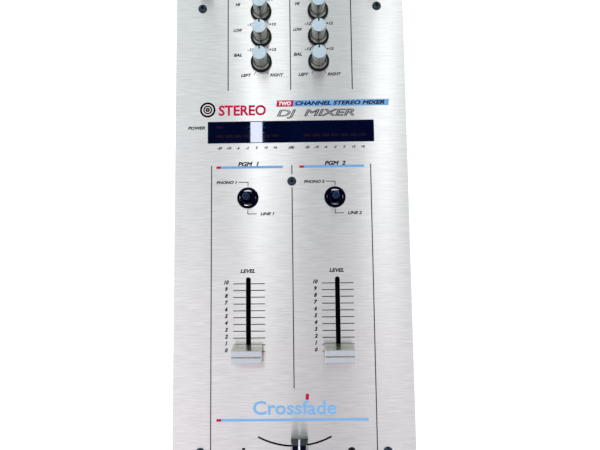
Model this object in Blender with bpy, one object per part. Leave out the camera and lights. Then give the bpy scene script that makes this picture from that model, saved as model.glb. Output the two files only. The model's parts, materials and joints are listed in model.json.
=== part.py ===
"""A slim two-channel mixer for two record players, laid flat on its rubber feet.

The frame is +X to the right, +Y to the rear and +Z up, with the origin on the ground
under the middle of the case. All sizes are in metres.
"""

import math

import bmesh
import bpy
from mathutils import Matrix

# Case
WIDTH = 0.160
LENGTH = 0.370
FACE_Z = 0.080                  # top surface of the faceplate
FACEPLATE_THICK = 0.002
SHEET = 0.0015                  # sheet steel of the case walls
GAP = 0.0003                    # clearance between pieces that touch
FOOT_HEIGHT = 0.008
FOOT_RADIUS = 0.0085
FOOT_AT = (0.062, 0.160)
TRAY_LIP = 0.010
STAND_OUT = 0.0095              # how far the rear jacks and the front knobs stand out

# Faceplate layout
SCREW_X = 0.0615
SCREW_ROWS = (-0.1527, 0.15075)  # the front pair and the rear pair
MIDLINE_X = 0.0004              # the screw and the faders stand this far right of the case's middle
CENTRE_SCREW_Y = 0.0265
SCREW_HEAD_RADIUS = 0.0031
COLUMN_X = 0.0201               # the two columns of tone knobs
ROW_Y = {"gain": 0.1665, "high": 0.1480, "low": 0.1295, "balance": 0.1110}
CORNER_KNOB_AT = (0.0615, 0.1690)
WINDOW_SIZE = (0.1150, 0.0153)
WINDOW_Y = 0.0612
METER_ROW_Y = 0.0584
METER_STEP = 0.0064
METER_FIRST_X = {1: -0.0492, 2: 0.0113}
METER_LAMPS = 7
POWER_LAMP_Y = 0.0650
SWITCH_AT = (0.0298, 0.01525)
FADER_X = 0.0300
FADER_ZERO_Y = -0.0890          # where the level fader stands at 0
FADER_SLOT_Y = -0.0656          # middle of its slot
SLOT_WIDTH = 0.0032
SLOT_LENGTH = 0.0538
CROSS_Y = -0.1534
CROSS_REST_X = 0.0037           # where the crossfader was left

# Knobs, measured up from the faceplate
KNOB_TOP = 0.0153
KNOB_BASE_RADIUS = 0.0074
KNOB_TOP_RADIUS = 0.0047
SHAFT_RADIUS = 0.0030
SHAFT_DEPTH = 0.0085
KNOB_SIDES = 16
POT_CASE = (0.0096, 0.0108, 0.0050)
POT_BOARD_DEPTH = 0.0070        # from the panel's inner face to the board's near face
BUSHING_RADIUS = 0.0043

# Caps, measured up from the faceplate
CAP_LOW = 0.003
CAP_HIGH = 0.014
CAP_FOOT = 0.0124               # width across the cap
CAP_CROWN = 0.0078
LEVEL_CAP_LENGTH = 0.0191
CROSS_CAP_LENGTH = 0.0204
CAP_POCKET_DEPTH = 0.0088
BLADE = (0.0012, 0.0040)
BLADE_TOP = 0.0105

# Fader frames, measured from the faceplate's underside
FRAME_SIZE = (0.0120, 0.0800, 0.0090)
CARRIAGE = (0.0070, 0.0080, 0.0046)

# Lever switches
LEVER_PIVOT = -0.005            # below the faceplate's top
LEVER_TIP = 0.0116
BEZEL_RADIUS = 0.00695
BEZEL_BORE = 0.0055
COLLAR_HALF = 0.0044            # half the square collar that the lever stands in
COLLAR_CORNER = 0.0017          # cut off each of its corners
COLLAR_TOP = 0.0010
COLLAR_OPENING = (0.0050, 0.0070)

# Rear and front rows
REAR_Z = 0.046
JACK_PITCH = 0.014
JACK_RADIUS = 0.0042
INPUT_JACK_X = {1: 0.0220, 2: -0.0140}
OUTPUT_JACK_X = -0.0500
GROUND_AT = (0.0480, 0.0300)
INLET_AT = (0.0660, 0.0260)
ROCKER_AT = (0.0610, 0.0540)
ROCKER_TILT = math.radians(7)
FRONT_Z = 0.044
PHONES_X = 0.0600
MIC_X = -0.0600
PHONES_KNOB_X = 0.0360
CUE_KNOB_X = 0.0120
PLUG_BORE = 0.0033

BOARD = 0.0016                  # thickness of a circuit board
UNDER_FACE = FACE_Z - FACEPLATE_THICK
WALL_TOP = UNDER_FACE - GAP
SEAT_Z = FOOT_HEIGHT            # underside of the tray
INNER_Y = LENGTH / 2 - SHEET    # inside of the front and rear panels
BOARD_Z = SEAT_Z + SHEET + 0.008    # underside of the two boards that stand on the tray's posts
MAIN_BOARD = (0.130, 0.195)
POWER_BOARD = (0.064, 0.046)
POWER_BOARD_AT = (0.040, 0.136)
PLUG_HEIGHT = 0.0085            # of the ribbon cable's plug on the main board
RIBBON_LOW_Y = 0.078
RIBBON_HIGH_Y = 0.112
FACE_OUT = Matrix.Rotation(math.pi / 2, 4, "X")     # turns +Z to the front
REAR_OUT = Matrix.Rotation(-math.pi / 2, 4, "X")    # turns +Z to the rear
SHARP_ANGLE = math.radians(35)
CORNER_NAMES = ("front_left", "front_right", "rear_left", "rear_right")

COLOURS = {
    "brushed_aluminium": ((0.62, 0.63, 0.64), 0.35, 1.0),
    "black_steel": ((0.03, 0.03, 0.035), 0.5, 0.6),
    "smoked_acrylic": ((0.01, 0.01, 0.03), 0.05, 0.0),
    "silver_plastic": ((0.55, 0.56, 0.55), 0.3, 0.5),
    "black_plastic": ((0.015, 0.015, 0.018), 0.35, 0.0),
    "black_rubber": ((0.02, 0.02, 0.02), 0.8, 0.0),
    "black_screw": ((0.03, 0.035, 0.045), 0.35, 0.8),
    "circuit_board": ((0.02, 0.12, 0.05), 0.5, 0.0),
    "plated_steel": ((0.6, 0.6, 0.6), 0.3, 1.0),
    "grey_cable": ((0.3, 0.3, 0.32), 0.6, 0.0),
}


def finish_of(name):
    """The material of that name, made when it is first asked for."""
    if name in bpy.data.materials:
        return bpy.data.materials[name]
    colour, roughness, metallic = COLOURS[name]
    material = bpy.data.materials.new(name)
    material.use_nodes = True
    shader = material.node_tree.nodes["Principled BSDF"]
    shader.inputs["Base Color"].default_value = (*colour, 1.0)
    shader.inputs["Roughness"].default_value = roughness
    shader.inputs["Metallic"].default_value = metallic
    return material


def block(bm, size, centre, chamfer=0.0):
    """Adds a box, with its edges chamfered if asked."""
    place = Matrix.Translation(centre) @ Matrix.Diagonal((*size, 1.0))
    made = bmesh.ops.create_cube(bm, size=1.0, matrix=place)
    if chamfer:
        edges = list({edge for vert in made["verts"] for edge in vert.link_edges})
        bmesh.ops.bevel(
            bm, geom=edges, offset=chamfer, segments=1, profile=0.5, affect="EDGES", material=-1
        )


def wedge(bm, length, foot, crown, low, high, chamfer):
    """Adds a block along X that narrows from foot to crown, as a fader cap does."""
    made = bmesh.ops.create_cube(bm, size=1.0)
    for vert in made["verts"]:
        across, height = (crown, high) if vert.co.z > 0 else (foot, low)
        vert.co = (vert.co.x * length, vert.co.y * across, height)
    edges = list({edge for vert in made["verts"] for edge in vert.link_edges})
    bmesh.ops.bevel(
        bm, geom=edges, offset=chamfer, segments=1, profile=0.5, affect="EDGES", material=-1
    )


def rod(bm, radius, low, high, at=(0.0, 0.0), sides=16, turn=Matrix()):
    """Adds a round bar from low to high along its own axis, which turn then turns."""
    place = turn @ Matrix.Translation((*at, (low + high) / 2))
    bmesh.ops.create_cone(
        bm, cap_ends=True, segments=sides, radius1=radius, radius2=radius, depth=high - low, matrix=place
    )


def turned(bm, profile, sides, closed=False, place=Matrix()):
    """Turns a profile of (radius, height) points about the axis. A closed profile makes a ring."""
    verts = [bm.verts.new((radius, 0.0, height)) for radius, height in profile]
    pairs = list(zip(verts, verts[1:]))
    if closed:
        pairs.append((verts[-1], verts[0]))
    edges = [bm.edges.new(pair) for pair in pairs]
    bmesh.ops.spin(
        bm, geom=verts + edges, cent=(0, 0, 0), axis=(0, 0, 1),
        angle=2 * math.pi, steps=sides, use_merge=True,
    )
    bmesh.ops.remove_doubles(bm, verts=bm.verts, dist=1e-6)
    bmesh.ops.transform(bm, matrix=place, verts=bm.verts)


def prism(bm, outline, low, high, place=Matrix()):
    """Adds a prism of a flat outline between two heights."""
    face = bm.faces.new([bm.verts.new((x, y, low)) for x, y in outline])
    made = bmesh.ops.extrude_face_region(bm, geom=[face])["geom"]
    raised = [item for item in made if isinstance(item, bmesh.types.BMVert)]
    bmesh.ops.translate(bm, verts=raised, vec=(0, 0, high - low))
    bmesh.ops.transform(bm, matrix=place, verts=raised + list(face.verts))


def slot_outline(width, length, across_x=False, steps=4):
    """A straight slot with round ends, along Y or, across_x, along X."""
    radius, straight = width / 2, (length - width) / 2
    ends = []
    for end in (1, -1):
        for step in range(steps + 1):
            angle = math.pi * step / steps
            ends.append((end * radius * math.cos(angle), end * (straight + radius * math.sin(angle))))
    return [(y, -x) for x, y in ends] if across_x else ends


def make(name, bm, finish, at=(0, 0, 0), turn=None, parent=None):
    """Makes the object of a bmesh, with its origin at that point."""
    bmesh.ops.recalc_face_normals(bm, faces=bm.faces)
    mesh = bpy.data.meshes.new(name)
    bm.to_mesh(mesh)
    bm.free()
    smooth(mesh)
    mesh.materials.append(finish_of(finish))
    return place_copy(name, mesh, at, turn, parent)


def place_copy(name, mesh, at, turn=None, parent=None):
    """Another object with that mesh."""
    obj = bpy.data.objects.new(name, mesh)
    obj.location = at
    if turn:
        obj.rotation_euler = turn
    obj.parent = parent
    bpy.context.scene.collection.objects.link(obj)
    return obj


def smooth(mesh):
    """Shades round faces smooth and leaves real edges crisp."""
    mesh.shade_smooth()
    mesh.set_sharp_from_angle(angle=SHARP_ANGLE)


def combine(obj, operation, tool_bm):
    """Cuts the tool's shapes out of an object's mesh, or joins them to it."""
    tool = make(obj.name + "_tool", tool_bm, "black_plastic", obj.location, obj.rotation_euler)
    modifier = obj.modifiers.new(operation.lower(), "BOOLEAN")
    modifier.operation = operation
    modifier.solver = "EXACT"
    modifier.object = tool
    graph = bpy.context.evaluated_depsgraph_get()
    obj.data = bpy.data.meshes.new_from_object(obj.evaluated_get(graph))
    obj.modifiers.clear()
    smooth(obj.data)
    bpy.data.objects.remove(tool)
    return obj


def pivot(name, at):
    """An empty that carries the pieces of one moving assembly."""
    empty = bpy.data.objects.new(name, None)
    empty.location = at
    bpy.context.scene.collection.objects.link(empty)
    return empty


def corners(across, along):
    """The four places (x, y) at plus and minus those distances."""
    return [(x * across, y * along) for y in (-1, 1) for x in (-1, 1)]


def screw_places():
    """Where each of the four outer screws of the faceplate stands."""
    places = [(x, y) for y in SCREW_ROWS for x in (-SCREW_X, SCREW_X)]
    return dict(zip(CORNER_NAMES, places))


# Case


def base_tray():
    plate = (WIDTH - 2 * (SHEET + GAP), LENGTH - 2 * (SHEET + GAP), SHEET)
    body = bmesh.new()
    block(body, (plate[0], plate[1], TRAY_LIP), (0, 0, SEAT_Z + TRAY_LIP / 2), 0.0005)
    tray = make("base_tray", body, "black_steel")
    inside = bmesh.new()
    hollow = (plate[0] - 2 * SHEET, plate[1] - 2 * SHEET, TRAY_LIP)
    block(inside, hollow, (0, 0, SEAT_Z + SHEET + TRAY_LIP / 2))
    combine(tray, "DIFFERENCE", inside)
    posts = bmesh.new()
    for x, y in corners(0.058, 0.090):
        rod(posts, 0.003, SEAT_Z + SHEET / 2, BOARD_Z - GAP, (x, y), sides=6)
    for x, y in corners(0.026, 0.018):
        place = (POWER_BOARD_AT[0] + x, POWER_BOARD_AT[1] + y)
        rod(posts, 0.003, SEAT_Z + SHEET / 2, BOARD_Z - GAP, place, sides=6)
    return combine(tray, "UNION", posts)


def side_panel(name, side):
    """A side wall folded over at the top, with two tabs that the faceplate's screws bite into."""
    length = LENGTH - 2 * (SHEET + GAP)
    wall = bmesh.new()
    block(wall, (SHEET, length, WALL_TOP - SEAT_Z), (side * (WIDTH - SHEET) / 2, 0, (WALL_TOP + SEAT_Z) / 2))
    panel = make(name, wall, "black_steel")
    fold = bmesh.new()
    flange = 0.008
    top = WALL_TOP - SHEET / 2
    block(fold, (flange, length - 0.004, SHEET), (side * (WIDTH - flange) / 2, 0, top))
    combine(panel, "UNION", fold)
    tabs = bmesh.new()
    reach = WIDTH / 2 - SCREW_X + 0.006
    for y in SCREW_ROWS:
        block(tabs, (reach, 0.012, SHEET - 0.0002), (side * (WIDTH - reach - 0.0004) / 2, y, top))
    combine(panel, "UNION", tabs)
    holes = bmesh.new()
    for y in SCREW_ROWS:
        rod(holes, 0.0019, WALL_TOP - 0.004, WALL_TOP + 0.001, (side * SCREW_X, y), sides=8)
    return combine(panel, "DIFFERENCE", holes)


def faceplate():
    sheet = bmesh.new()
    middle = FACE_Z - FACEPLATE_THICK / 2
    block(sheet, (WIDTH, LENGTH, FACEPLATE_THICK), (0, 0, middle), 0.0004)
    plate = make("faceplate", sheet, "brushed_aluminium")
    holes = bmesh.new()
    low, high = UNDER_FACE - 0.001, FACE_Z + 0.001
    for x, y in [*screw_places().values(), (MIDLINE_X, CENTRE_SCREW_Y)]:
        rod(holes, 0.0019, low, high, (x, y), sides=8)
    for x, y in knob_places():
        rod(holes, 0.0047, low, high, (x, y), sides=12)
    for x in (-SWITCH_AT[0], SWITCH_AT[0]):
        rod(holes, BEZEL_RADIUS + GAP, low, high, (x, SWITCH_AT[1]), sides=20)
    slot = slot_outline(SLOT_WIDTH, SLOT_LENGTH)
    for x in (MIDLINE_X - FADER_X, MIDLINE_X + FADER_X):
        prism(holes, slot, low, high, Matrix.Translation((x, FADER_SLOT_Y, 0)))
    cross = slot_outline(SLOT_WIDTH, SLOT_LENGTH, across_x=True)
    prism(holes, cross, low, high, Matrix.Translation((MIDLINE_X, CROSS_Y, 0)))
    block(holes, (*WINDOW_SIZE, 2 * FACEPLATE_THICK), (0, WINDOW_Y, middle))
    return combine(plate, "DIFFERENCE", holes)


def end_panel(name, side):
    """The blank of the front (side -1) or rear (side 1) panel."""
    panel = bmesh.new()
    height = WALL_TOP - SEAT_Z
    block(panel, (WIDTH, SHEET, height), (0, side * (LENGTH - SHEET) / 2, SEAT_Z + height / 2), 0.0004)
    return make(name, panel, "black_steel")


def front_panel():
    holes = bmesh.new()
    low, high = INNER_Y - 0.001, LENGTH / 2 + 0.001
    for x in (PHONES_X, MIC_X):
        rod(holes, 0.0062, low, high, (x, FRONT_Z), 16, FACE_OUT)
    for x in (PHONES_KNOB_X, CUE_KNOB_X):
        rod(holes, 0.0046, low, high, (x, FRONT_Z), 12, FACE_OUT)
    return combine(end_panel("front_panel", -1), "DIFFERENCE", holes)


def rear_panel():
    holes = bmesh.new()
    low, high = INNER_Y - 0.001, LENGTH / 2 + 0.001
    for x, z in jack_places():
        rod(holes, 0.0052, low, high, (x, -z), 12, REAR_OUT)
    rod(holes, 0.0030, low, high, (GROUND_AT[0], -GROUND_AT[1]), 12, REAR_OUT)
    rod(holes, 0.0060, low, high, (INLET_AT[0], -INLET_AT[1]), 16, REAR_OUT)
    middle = LENGTH / 2 - SHEET / 2
    block(holes, (0.0196, 2 * SHEET, 0.0136), (ROCKER_AT[0], middle, ROCKER_AT[1]))
    return combine(end_panel("rear_panel", 1), "DIFFERENCE", holes)


def foot(name, x, y):
    """A rubber foot, hollow under its screw."""
    rubber = bmesh.new()
    height = FOOT_HEIGHT - GAP
    turned(
        rubber,
        [(0, height), (FOOT_RADIUS, height), (FOOT_RADIUS, height - 0.002), (FOOT_RADIUS - 0.001, 0.0005),
         (FOOT_RADIUS - 0.0015, 0), (0.0032, 0), (0.0032, 0.004), (0, 0.004)],
        16,
    )
    return make(name, rubber, "black_rubber", (x, y, 0))


def screw_mesh():
    """A button-head machine screw with a hexagon socket, its head standing on z = 0."""
    steel = bmesh.new()
    radius = SCREW_HEAD_RADIUS
    turned(
        steel,
        [(0, 0.00165), (0.4 * radius, 0.0016), (0.8 * radius, 0.0011), (radius, 0.0003),
         (radius, GAP / 3), (0.0015, GAP / 3), (0.0015, -0.006), (0, -0.006)],
        12,
    )
    screw = make("screw_blank", steel, "black_screw")
    socket = bmesh.new()
    rod(socket, 0.00115, 0.0006, 0.003, sides=6)
    mesh = combine(screw, "DIFFERENCE", socket).data
    bpy.data.objects.remove(screw)
    return mesh


def centre_pillar():
    """A hexagon pillar from the tray to the screw in the middle of the faceplate."""
    pillar = bmesh.new()
    rod(pillar, 0.0038, SEAT_Z + SHEET + GAP, WALL_TOP, (MIDLINE_X, CENTRE_SCREW_Y), sides=6)
    made = make("centre_pillar", pillar, "plated_steel")
    thread = bmesh.new()
    rod(thread, 0.0019, WALL_TOP - 0.010, WALL_TOP + 0.001, (MIDLINE_X, CENTRE_SCREW_Y), sides=8)
    return combine(made, "DIFFERENCE", thread)


# Meter


def meter_window():
    """Smoked acrylic with a rim that stays under the faceplate."""
    acrylic = bmesh.new()
    width, length = WINDOW_SIZE[0] - 2 * GAP, WINDOW_SIZE[1] - 2 * GAP
    rim_top, rim_bottom = UNDER_FACE - GAP, UNDER_FACE - 0.0025
    block(acrylic, (WINDOW_SIZE[0] + 0.006, WINDOW_SIZE[1] + 0.006, rim_top - rim_bottom),
          (0, WINDOW_Y, (rim_top + rim_bottom) / 2))
    window = make("meter_window", acrylic, "smoked_acrylic")
    pane = bmesh.new()
    top = FACE_Z - 0.0001
    block(pane, (width, length, top - rim_bottom - 0.0005), (0, WINDOW_Y, (top + rim_bottom + 0.0005) / 2))
    return combine(window, "UNION", pane)


def meter_board():
    """The board under the window, with seven lamps for each channel, one for power and four posts."""
    board = bmesh.new()
    top = UNDER_FACE - 0.0105
    block(board, (0.130, 0.024, BOARD), (0, WINDOW_Y, top - BOARD / 2))
    made = make("meter_board", board, "circuit_board")
    lamps = bmesh.new()
    lamp = (0.0048, 0.0020, 0.0065)
    for first_x in METER_FIRST_X.values():
        for number in range(METER_LAMPS):
            centre = (first_x + number * METER_STEP, METER_ROW_Y, top + lamp[2] / 2 - 0.0004)
            block(lamps, lamp, centre)
    block(lamps, lamp, (METER_FIRST_X[1], POWER_LAMP_Y, top + lamp[2] / 2 - 0.0004))
    for x, y in corners(0.0625, 0.0095):
        rod(lamps, 0.0018, top - BOARD / 2, WALL_TOP, (x, WINDOW_Y + y), sides=6)
    return combine(made, "UNION", lamps)


# Boards and pots


def knob_places():
    """Where the faceplate's ten knobs stand."""
    tone = [(side * COLUMN_X, y) for side in (-1, 1) for y in ROW_Y.values()]
    return tone + [(-CORNER_KNOB_AT[0], CORNER_KNOB_AT[1]), CORNER_KNOB_AT]


def add_pots(board, places, outside, inside, turn=Matrix()):
    """Joins a pot to the board at each place: its case, its threaded bushing and its bore.

    The panel that the bushings pass through has its two faces at outside and inside.
    """
    cases, threads, bores = bmesh.new(), bmesh.new(), bmesh.new()
    bore_end = outside - SHAFT_DEPTH - GAP
    for x, y in places:
        case = Matrix.Translation((x, y, inside - POT_CASE[2])) @ Matrix.Diagonal((*POT_CASE, 1.0))
        bmesh.ops.create_cube(cases, size=1.0, matrix=turn @ case)
        rod(threads, BUSHING_RADIUS, inside - POT_CASE[2], outside - 0.0004, (x, y), 12, turn)
        rod(bores, SHAFT_RADIUS + GAP, bore_end, outside + 0.001, (x, y), 12, turn)
    combine(board, "UNION", cases)
    combine(board, "UNION", threads)
    return combine(board, "DIFFERENCE", bores)


def pot_board():
    """The board that carries the ten pots under the faceplate's knobs."""
    sheet = bmesh.new()
    top = UNDER_FACE - POT_BOARD_DEPTH
    block(sheet, (0.142, 0.076, BOARD), (0, 0.138, top - BOARD / 2))
    board = make("pot_board", sheet, "circuit_board")
    add_pots(board, knob_places(), FACE_Z, UNDER_FACE)
    holes = bmesh.new()
    for x in (-SCREW_X, SCREW_X):
        rod(holes, 0.004, top - 0.004, top + 0.002, (x, SCREW_ROWS[1]), 8)
    return combine(board, "DIFFERENCE", holes)


def front_pot_board():
    """The upright board behind the front panel, with the two pots for the headphones."""
    sheet = bmesh.new()
    middle_x = (PHONES_KNOB_X + CUE_KNOB_X) / 2
    block(sheet, (0.040, BOARD, 0.022), (middle_x, -(INNER_Y - POT_BOARD_DEPTH - BOARD / 2), FRONT_Z))
    board = make("front_pot_board", sheet, "circuit_board")
    places = [(PHONES_KNOB_X, FRONT_Z), (CUE_KNOB_X, FRONT_Z)]
    return add_pots(board, places, LENGTH / 2, INNER_Y, FACE_OUT)


def main_board():
    """The mixing board on the tray, with its chips, capacitors and plugs."""
    top = BOARD_Z + BOARD
    sheet = bmesh.new()
    block(sheet, (*MAIN_BOARD, BOARD), (0, 0, BOARD_Z + BOARD / 2))
    board = make("main_board", sheet, "circuit_board")
    parts = bmesh.new()
    for row in range(4):
        for side in (-1, 1):
            chip = (0.0098, 0.0064, 0.0040)
            block(parts, chip, (side * 0.030, -0.070 + row * 0.030, top + chip[2] / 2 - 0.0003))
            rod(parts, 0.0032, top - 0.0005, top + 0.011, (side * 0.050, -0.062 + row * 0.030), 8)
    block(parts, (0.030, 0.008, PLUG_HEIGHT + 0.0005), (0, RIBBON_LOW_Y, top + PLUG_HEIGHT / 2 - 0.00025))
    combine(board, "UNION", parts)
    hole = bmesh.new()
    rod(hole, 0.0050, BOARD_Z - 0.001, top + 0.001, (MIDLINE_X, CENTRE_SCREW_Y), sides=8)
    return combine(board, "DIFFERENCE", hole)


def ribbon_cable():
    """The flat cable from the main board up to the pot board, in one slack S."""
    strip = bmesh.new()
    low = BOARD_Z + BOARD + PLUG_HEIGHT + GAP
    high = UNDER_FACE - POT_BOARD_DEPTH - BOARD - GAP
    width, thick, steps = 0.026, 0.0009, 12
    line = []
    for step in range(steps + 1):
        part = step / steps
        ease = part * part * (3 - 2 * part)
        line.append((RIBBON_LOW_Y + ease * (RIBBON_HIGH_Y - RIBBON_LOW_Y), low + part * (high - low)))
    outline = [(y - thick / 2, z) for y, z in line] + [(y + thick / 2, z) for y, z in reversed(line)]
    upright = Matrix(((0, 0, 1, 0), (1, 0, 0, 0), (0, 1, 0, 0), (0, 0, 0, 1)))
    prism(strip, outline, -width / 2, width / 2, upright)
    return make("ribbon_cable", strip, "grey_cable")


def power_board():
    """The power supply: a board with a heat sink and two large capacitors."""
    x, y = POWER_BOARD_AT
    sheet = bmesh.new()
    block(sheet, (*POWER_BOARD, BOARD), (x, y, BOARD_Z + BOARD / 2))
    board = make("power_board", sheet, "circuit_board")
    parts = bmesh.new()
    for place in ((x - 0.014, y - 0.009), (x - 0.014, y + 0.009)):
        rod(parts, 0.0065, BOARD_Z + 0.0010, BOARD_Z + 0.024, place, 12)
    block(parts, (0.004, 0.030, 0.022), (x + 0.012, y, BOARD_Z + 0.0120))
    return combine(board, "UNION", parts)


# Faders


def fader_frame(name, at, across_x=False):
    """A fader's steel frame, hung under the faceplate, with the slot that its blade slides in."""
    turn = (0, 0, math.pi / 2) if across_x else None
    top = WALL_TOP - FACE_Z
    shell = bmesh.new()
    block(shell, FRAME_SIZE, (0, 0, top - FRAME_SIZE[2] / 2), 0.0005)
    frame = make(name, shell, "plated_steel", (*at, FACE_Z), turn)
    room = bmesh.new()
    wall = 0.0012
    block(room, (FRAME_SIZE[0] - 2 * wall, 0.0590, FRAME_SIZE[2] - 2 * wall),
          (0, 0, top - FRAME_SIZE[2] / 2))
    combine(frame, "DIFFERENCE", room)
    slot = bmesh.new()
    block(slot, (0.0026, 0.0520, 2.5 * wall), (0, 0, top - wall / 2))
    return combine(frame, "DIFFERENCE", slot)


def fader_stem(name, parent, across_x=False):
    """The carriage and the blade that stands up through the slot. Its origin is in the faceplate."""
    middle = WALL_TOP - FACE_Z - FRAME_SIZE[2] / 2
    carriage = bmesh.new()
    block(carriage, CARRIAGE, (0, 0, middle), 0.0004)
    turn = (0, 0, math.pi / 2) if across_x else None
    stem = make(name, carriage, "plated_steel", (0, 0, 0), turn)
    blade = bmesh.new()
    block(blade, (*BLADE, BLADE_TOP - middle), (0, 0, (BLADE_TOP + middle) / 2))
    combine(stem, "UNION", blade)
    stem.parent = parent
    return stem


def fader_cap(name, parent, finish, length, across_x=False):
    """A cap with an index groove over its crown and a pocket for the blade."""
    body = bmesh.new()
    wedge(body, length, CAP_FOOT, CAP_CROWN, CAP_LOW, CAP_HIGH, 0.0005)
    turn = (0, 0, math.pi / 2) if across_x else None
    cap = make(name, body, finish, (0, 0, 0), turn)
    cuts = bmesh.new()
    pocket = (BLADE[0] + 2 * GAP, BLADE[1] + 2 * GAP, CAP_POCKET_DEPTH)
    block(cuts, pocket, (0, 0, BLADE_TOP + GAP - CAP_POCKET_DEPTH / 2))
    block(cuts, (1.5 * length, 0.0010, 0.0016), (0, 0, CAP_HIGH))
    combine(cap, "DIFFERENCE", cuts)
    cap.parent = parent
    return cap


def level_fader(number, side):
    x = MIDLINE_X + side * FADER_X
    fader_frame(f"level_fader_{number}", (x, FADER_SLOT_Y))
    carrier = pivot(f"level_slide_{number}", (x, FADER_ZERO_Y, FACE_Z))
    fader_stem(f"level_fader_stem_{number}", carrier)
    fader_cap(f"level_fader_cap_{number}", carrier, "silver_plastic", LEVEL_CAP_LENGTH)


def crossfader():
    fader_frame("crossfader", (MIDLINE_X, CROSS_Y), across_x=True)
    carrier = pivot("cross_slide", (CROSS_REST_X, CROSS_Y, FACE_Z))
    fader_stem("crossfader_stem", carrier, across_x=True)
    fader_cap("crossfader_cap", carrier, "black_plastic", CROSS_CAP_LENGTH, across_x=True)


# Knobs


def knob_mesh(name, scale, top):
    """A tapered knob with a flared skirt, a dark base ring, a pointer notch and its shaft below."""
    body = bmesh.new()
    turned(
        body,
        [(0, top), (KNOB_TOP_RADIUS * scale - 0.0004, top), (KNOB_TOP_RADIUS * scale, top - 0.0004),
         (0.0049 * scale, 0.0058), (0.0057 * scale, 0.0034), (0.0064 * scale, 0.0013),
         (KNOB_BASE_RADIUS * scale, 0.0011), (KNOB_BASE_RADIUS * scale, GAP),
         (SHAFT_RADIUS, GAP), (SHAFT_RADIUS, -SHAFT_DEPTH), (0, -SHAFT_DEPTH)],
        KNOB_SIDES,
    )
    knob = make(name, body, "silver_plastic")
    notch = bmesh.new()
    reach = KNOB_TOP_RADIUS * scale
    block(notch, (0.0010, 0.6 * reach, 0.0008), (0, 0.85 * reach, top))
    mesh = combine(knob, "DIFFERENCE", notch).data
    bpy.data.objects.remove(knob)
    return mesh


def knobs():
    """Every knob, with its origin on its shaft's axis."""
    top_knob = knob_mesh("top_knob_blank", 1.0, KNOB_TOP)
    for number, side in ((1, -1), (2, 1)):
        for row, y in ROW_Y.items():
            place_copy(f"{row}_knob_{number}", top_knob, (side * COLUMN_X, y, FACE_Z))
    place_copy("mic_level_knob", top_knob, (-CORNER_KNOB_AT[0], CORNER_KNOB_AT[1], FACE_Z))
    place_copy("master_level_knob", top_knob, (*CORNER_KNOB_AT, FACE_Z))
    front_knob = knob_mesh("front_knob_blank", 0.9, STAND_OUT)
    face_out = (math.pi / 2, 0, 0)
    for name, x in (("phones_level_knob", PHONES_KNOB_X), ("cue_mix_knob", CUE_KNOB_X)):
        place_copy(name, front_knob, (x, -LENGTH / 2, FRONT_Z), face_out)


# Lever switches


def switch_bezel(number, side):
    """The black ring round a lever, held from below by its flange."""
    ring = bmesh.new()
    under = -FACEPLATE_THICK - GAP
    turned(
        ring,
        [(BEZEL_RADIUS, 0.0002), (BEZEL_RADIUS - 0.0005, 0.0006), (BEZEL_BORE + 0.0003, 0.0005),
         (BEZEL_BORE, 0.0001), (BEZEL_BORE, -0.0042), (0.0085, -0.0042), (0.0085, under),
         (BEZEL_RADIUS, under)],
        20, closed=True,
    )
    make(f"switch_bezel_{number}", ring, "black_plastic", (side * SWITCH_AT[0], SWITCH_AT[1], FACE_Z))


def input_switch(number, side):
    """The switch's case under the bezel, and the square collar that rises through the bezel."""
    case = bmesh.new()
    top = -0.0042 - GAP
    block(case, (0.0130, 0.0130, 0.0140), (0, 0, top - 0.0070), 0.0005)
    at = (side * SWITCH_AT[0], SWITCH_AT[1], FACE_Z)
    switch = make(f"input_switch_{number}", case, "black_plastic", at)
    collar, near = bmesh.new(), COLLAR_HALF - COLLAR_CORNER
    outline = [(COLLAR_HALF, -near), (COLLAR_HALF, near), (near, COLLAR_HALF), (-near, COLLAR_HALF),
               (-COLLAR_HALF, near), (-COLLAR_HALF, -near), (-near, -COLLAR_HALF), (near, -COLLAR_HALF)]
    prism(collar, outline, top - 0.001, COLLAR_TOP)
    combine(switch, "UNION", collar)
    well = bmesh.new()
    well_low = top - 0.0060
    block(well, (*COLLAR_OPENING, 0.002 + COLLAR_TOP - well_low), (0, 0, (0.002 + COLLAR_TOP + well_low) / 2))
    combine(switch, "DIFFERENCE", well)


def switch_lever(number, side):
    """A round lever that swells to a domed tip. Its origin is on its pivot."""
    lever = bmesh.new()
    tip = LEVER_TIP - LEVER_PIVOT
    turned(
        lever,
        [(0, -0.0036), (0.0014, -0.0036), (0.0014, 0.0018), (0.0017, 0.0030), (0.0018, tip - 0.0080),
         (0.0024, tip - 0.0028), (0.0024, tip - 0.0014), (0.0019, tip - 0.0005), (0.0010, tip - 0.0001),
         (0, tip)],
        12,
    )
    at = (side * SWITCH_AT[0], SWITCH_AT[1], FACE_Z + LEVER_PIVOT)
    make(f"switch_lever_{number}", lever, "black_plastic", at)


# Rear and front fittings


def four_places(x):
    """The two by two places of one jack block, as (x, z) on the rear panel."""
    half = JACK_PITCH / 2
    return [(x + dx, REAR_Z + dz) for dz in (-half, half) for dx in (-half, half)]


def jack_places():
    """Every place (x, z) where a jack passes through the rear panel."""
    return [place for x in (*INPUT_JACK_X.values(), OUTPUT_JACK_X) for place in four_places(x)]


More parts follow.
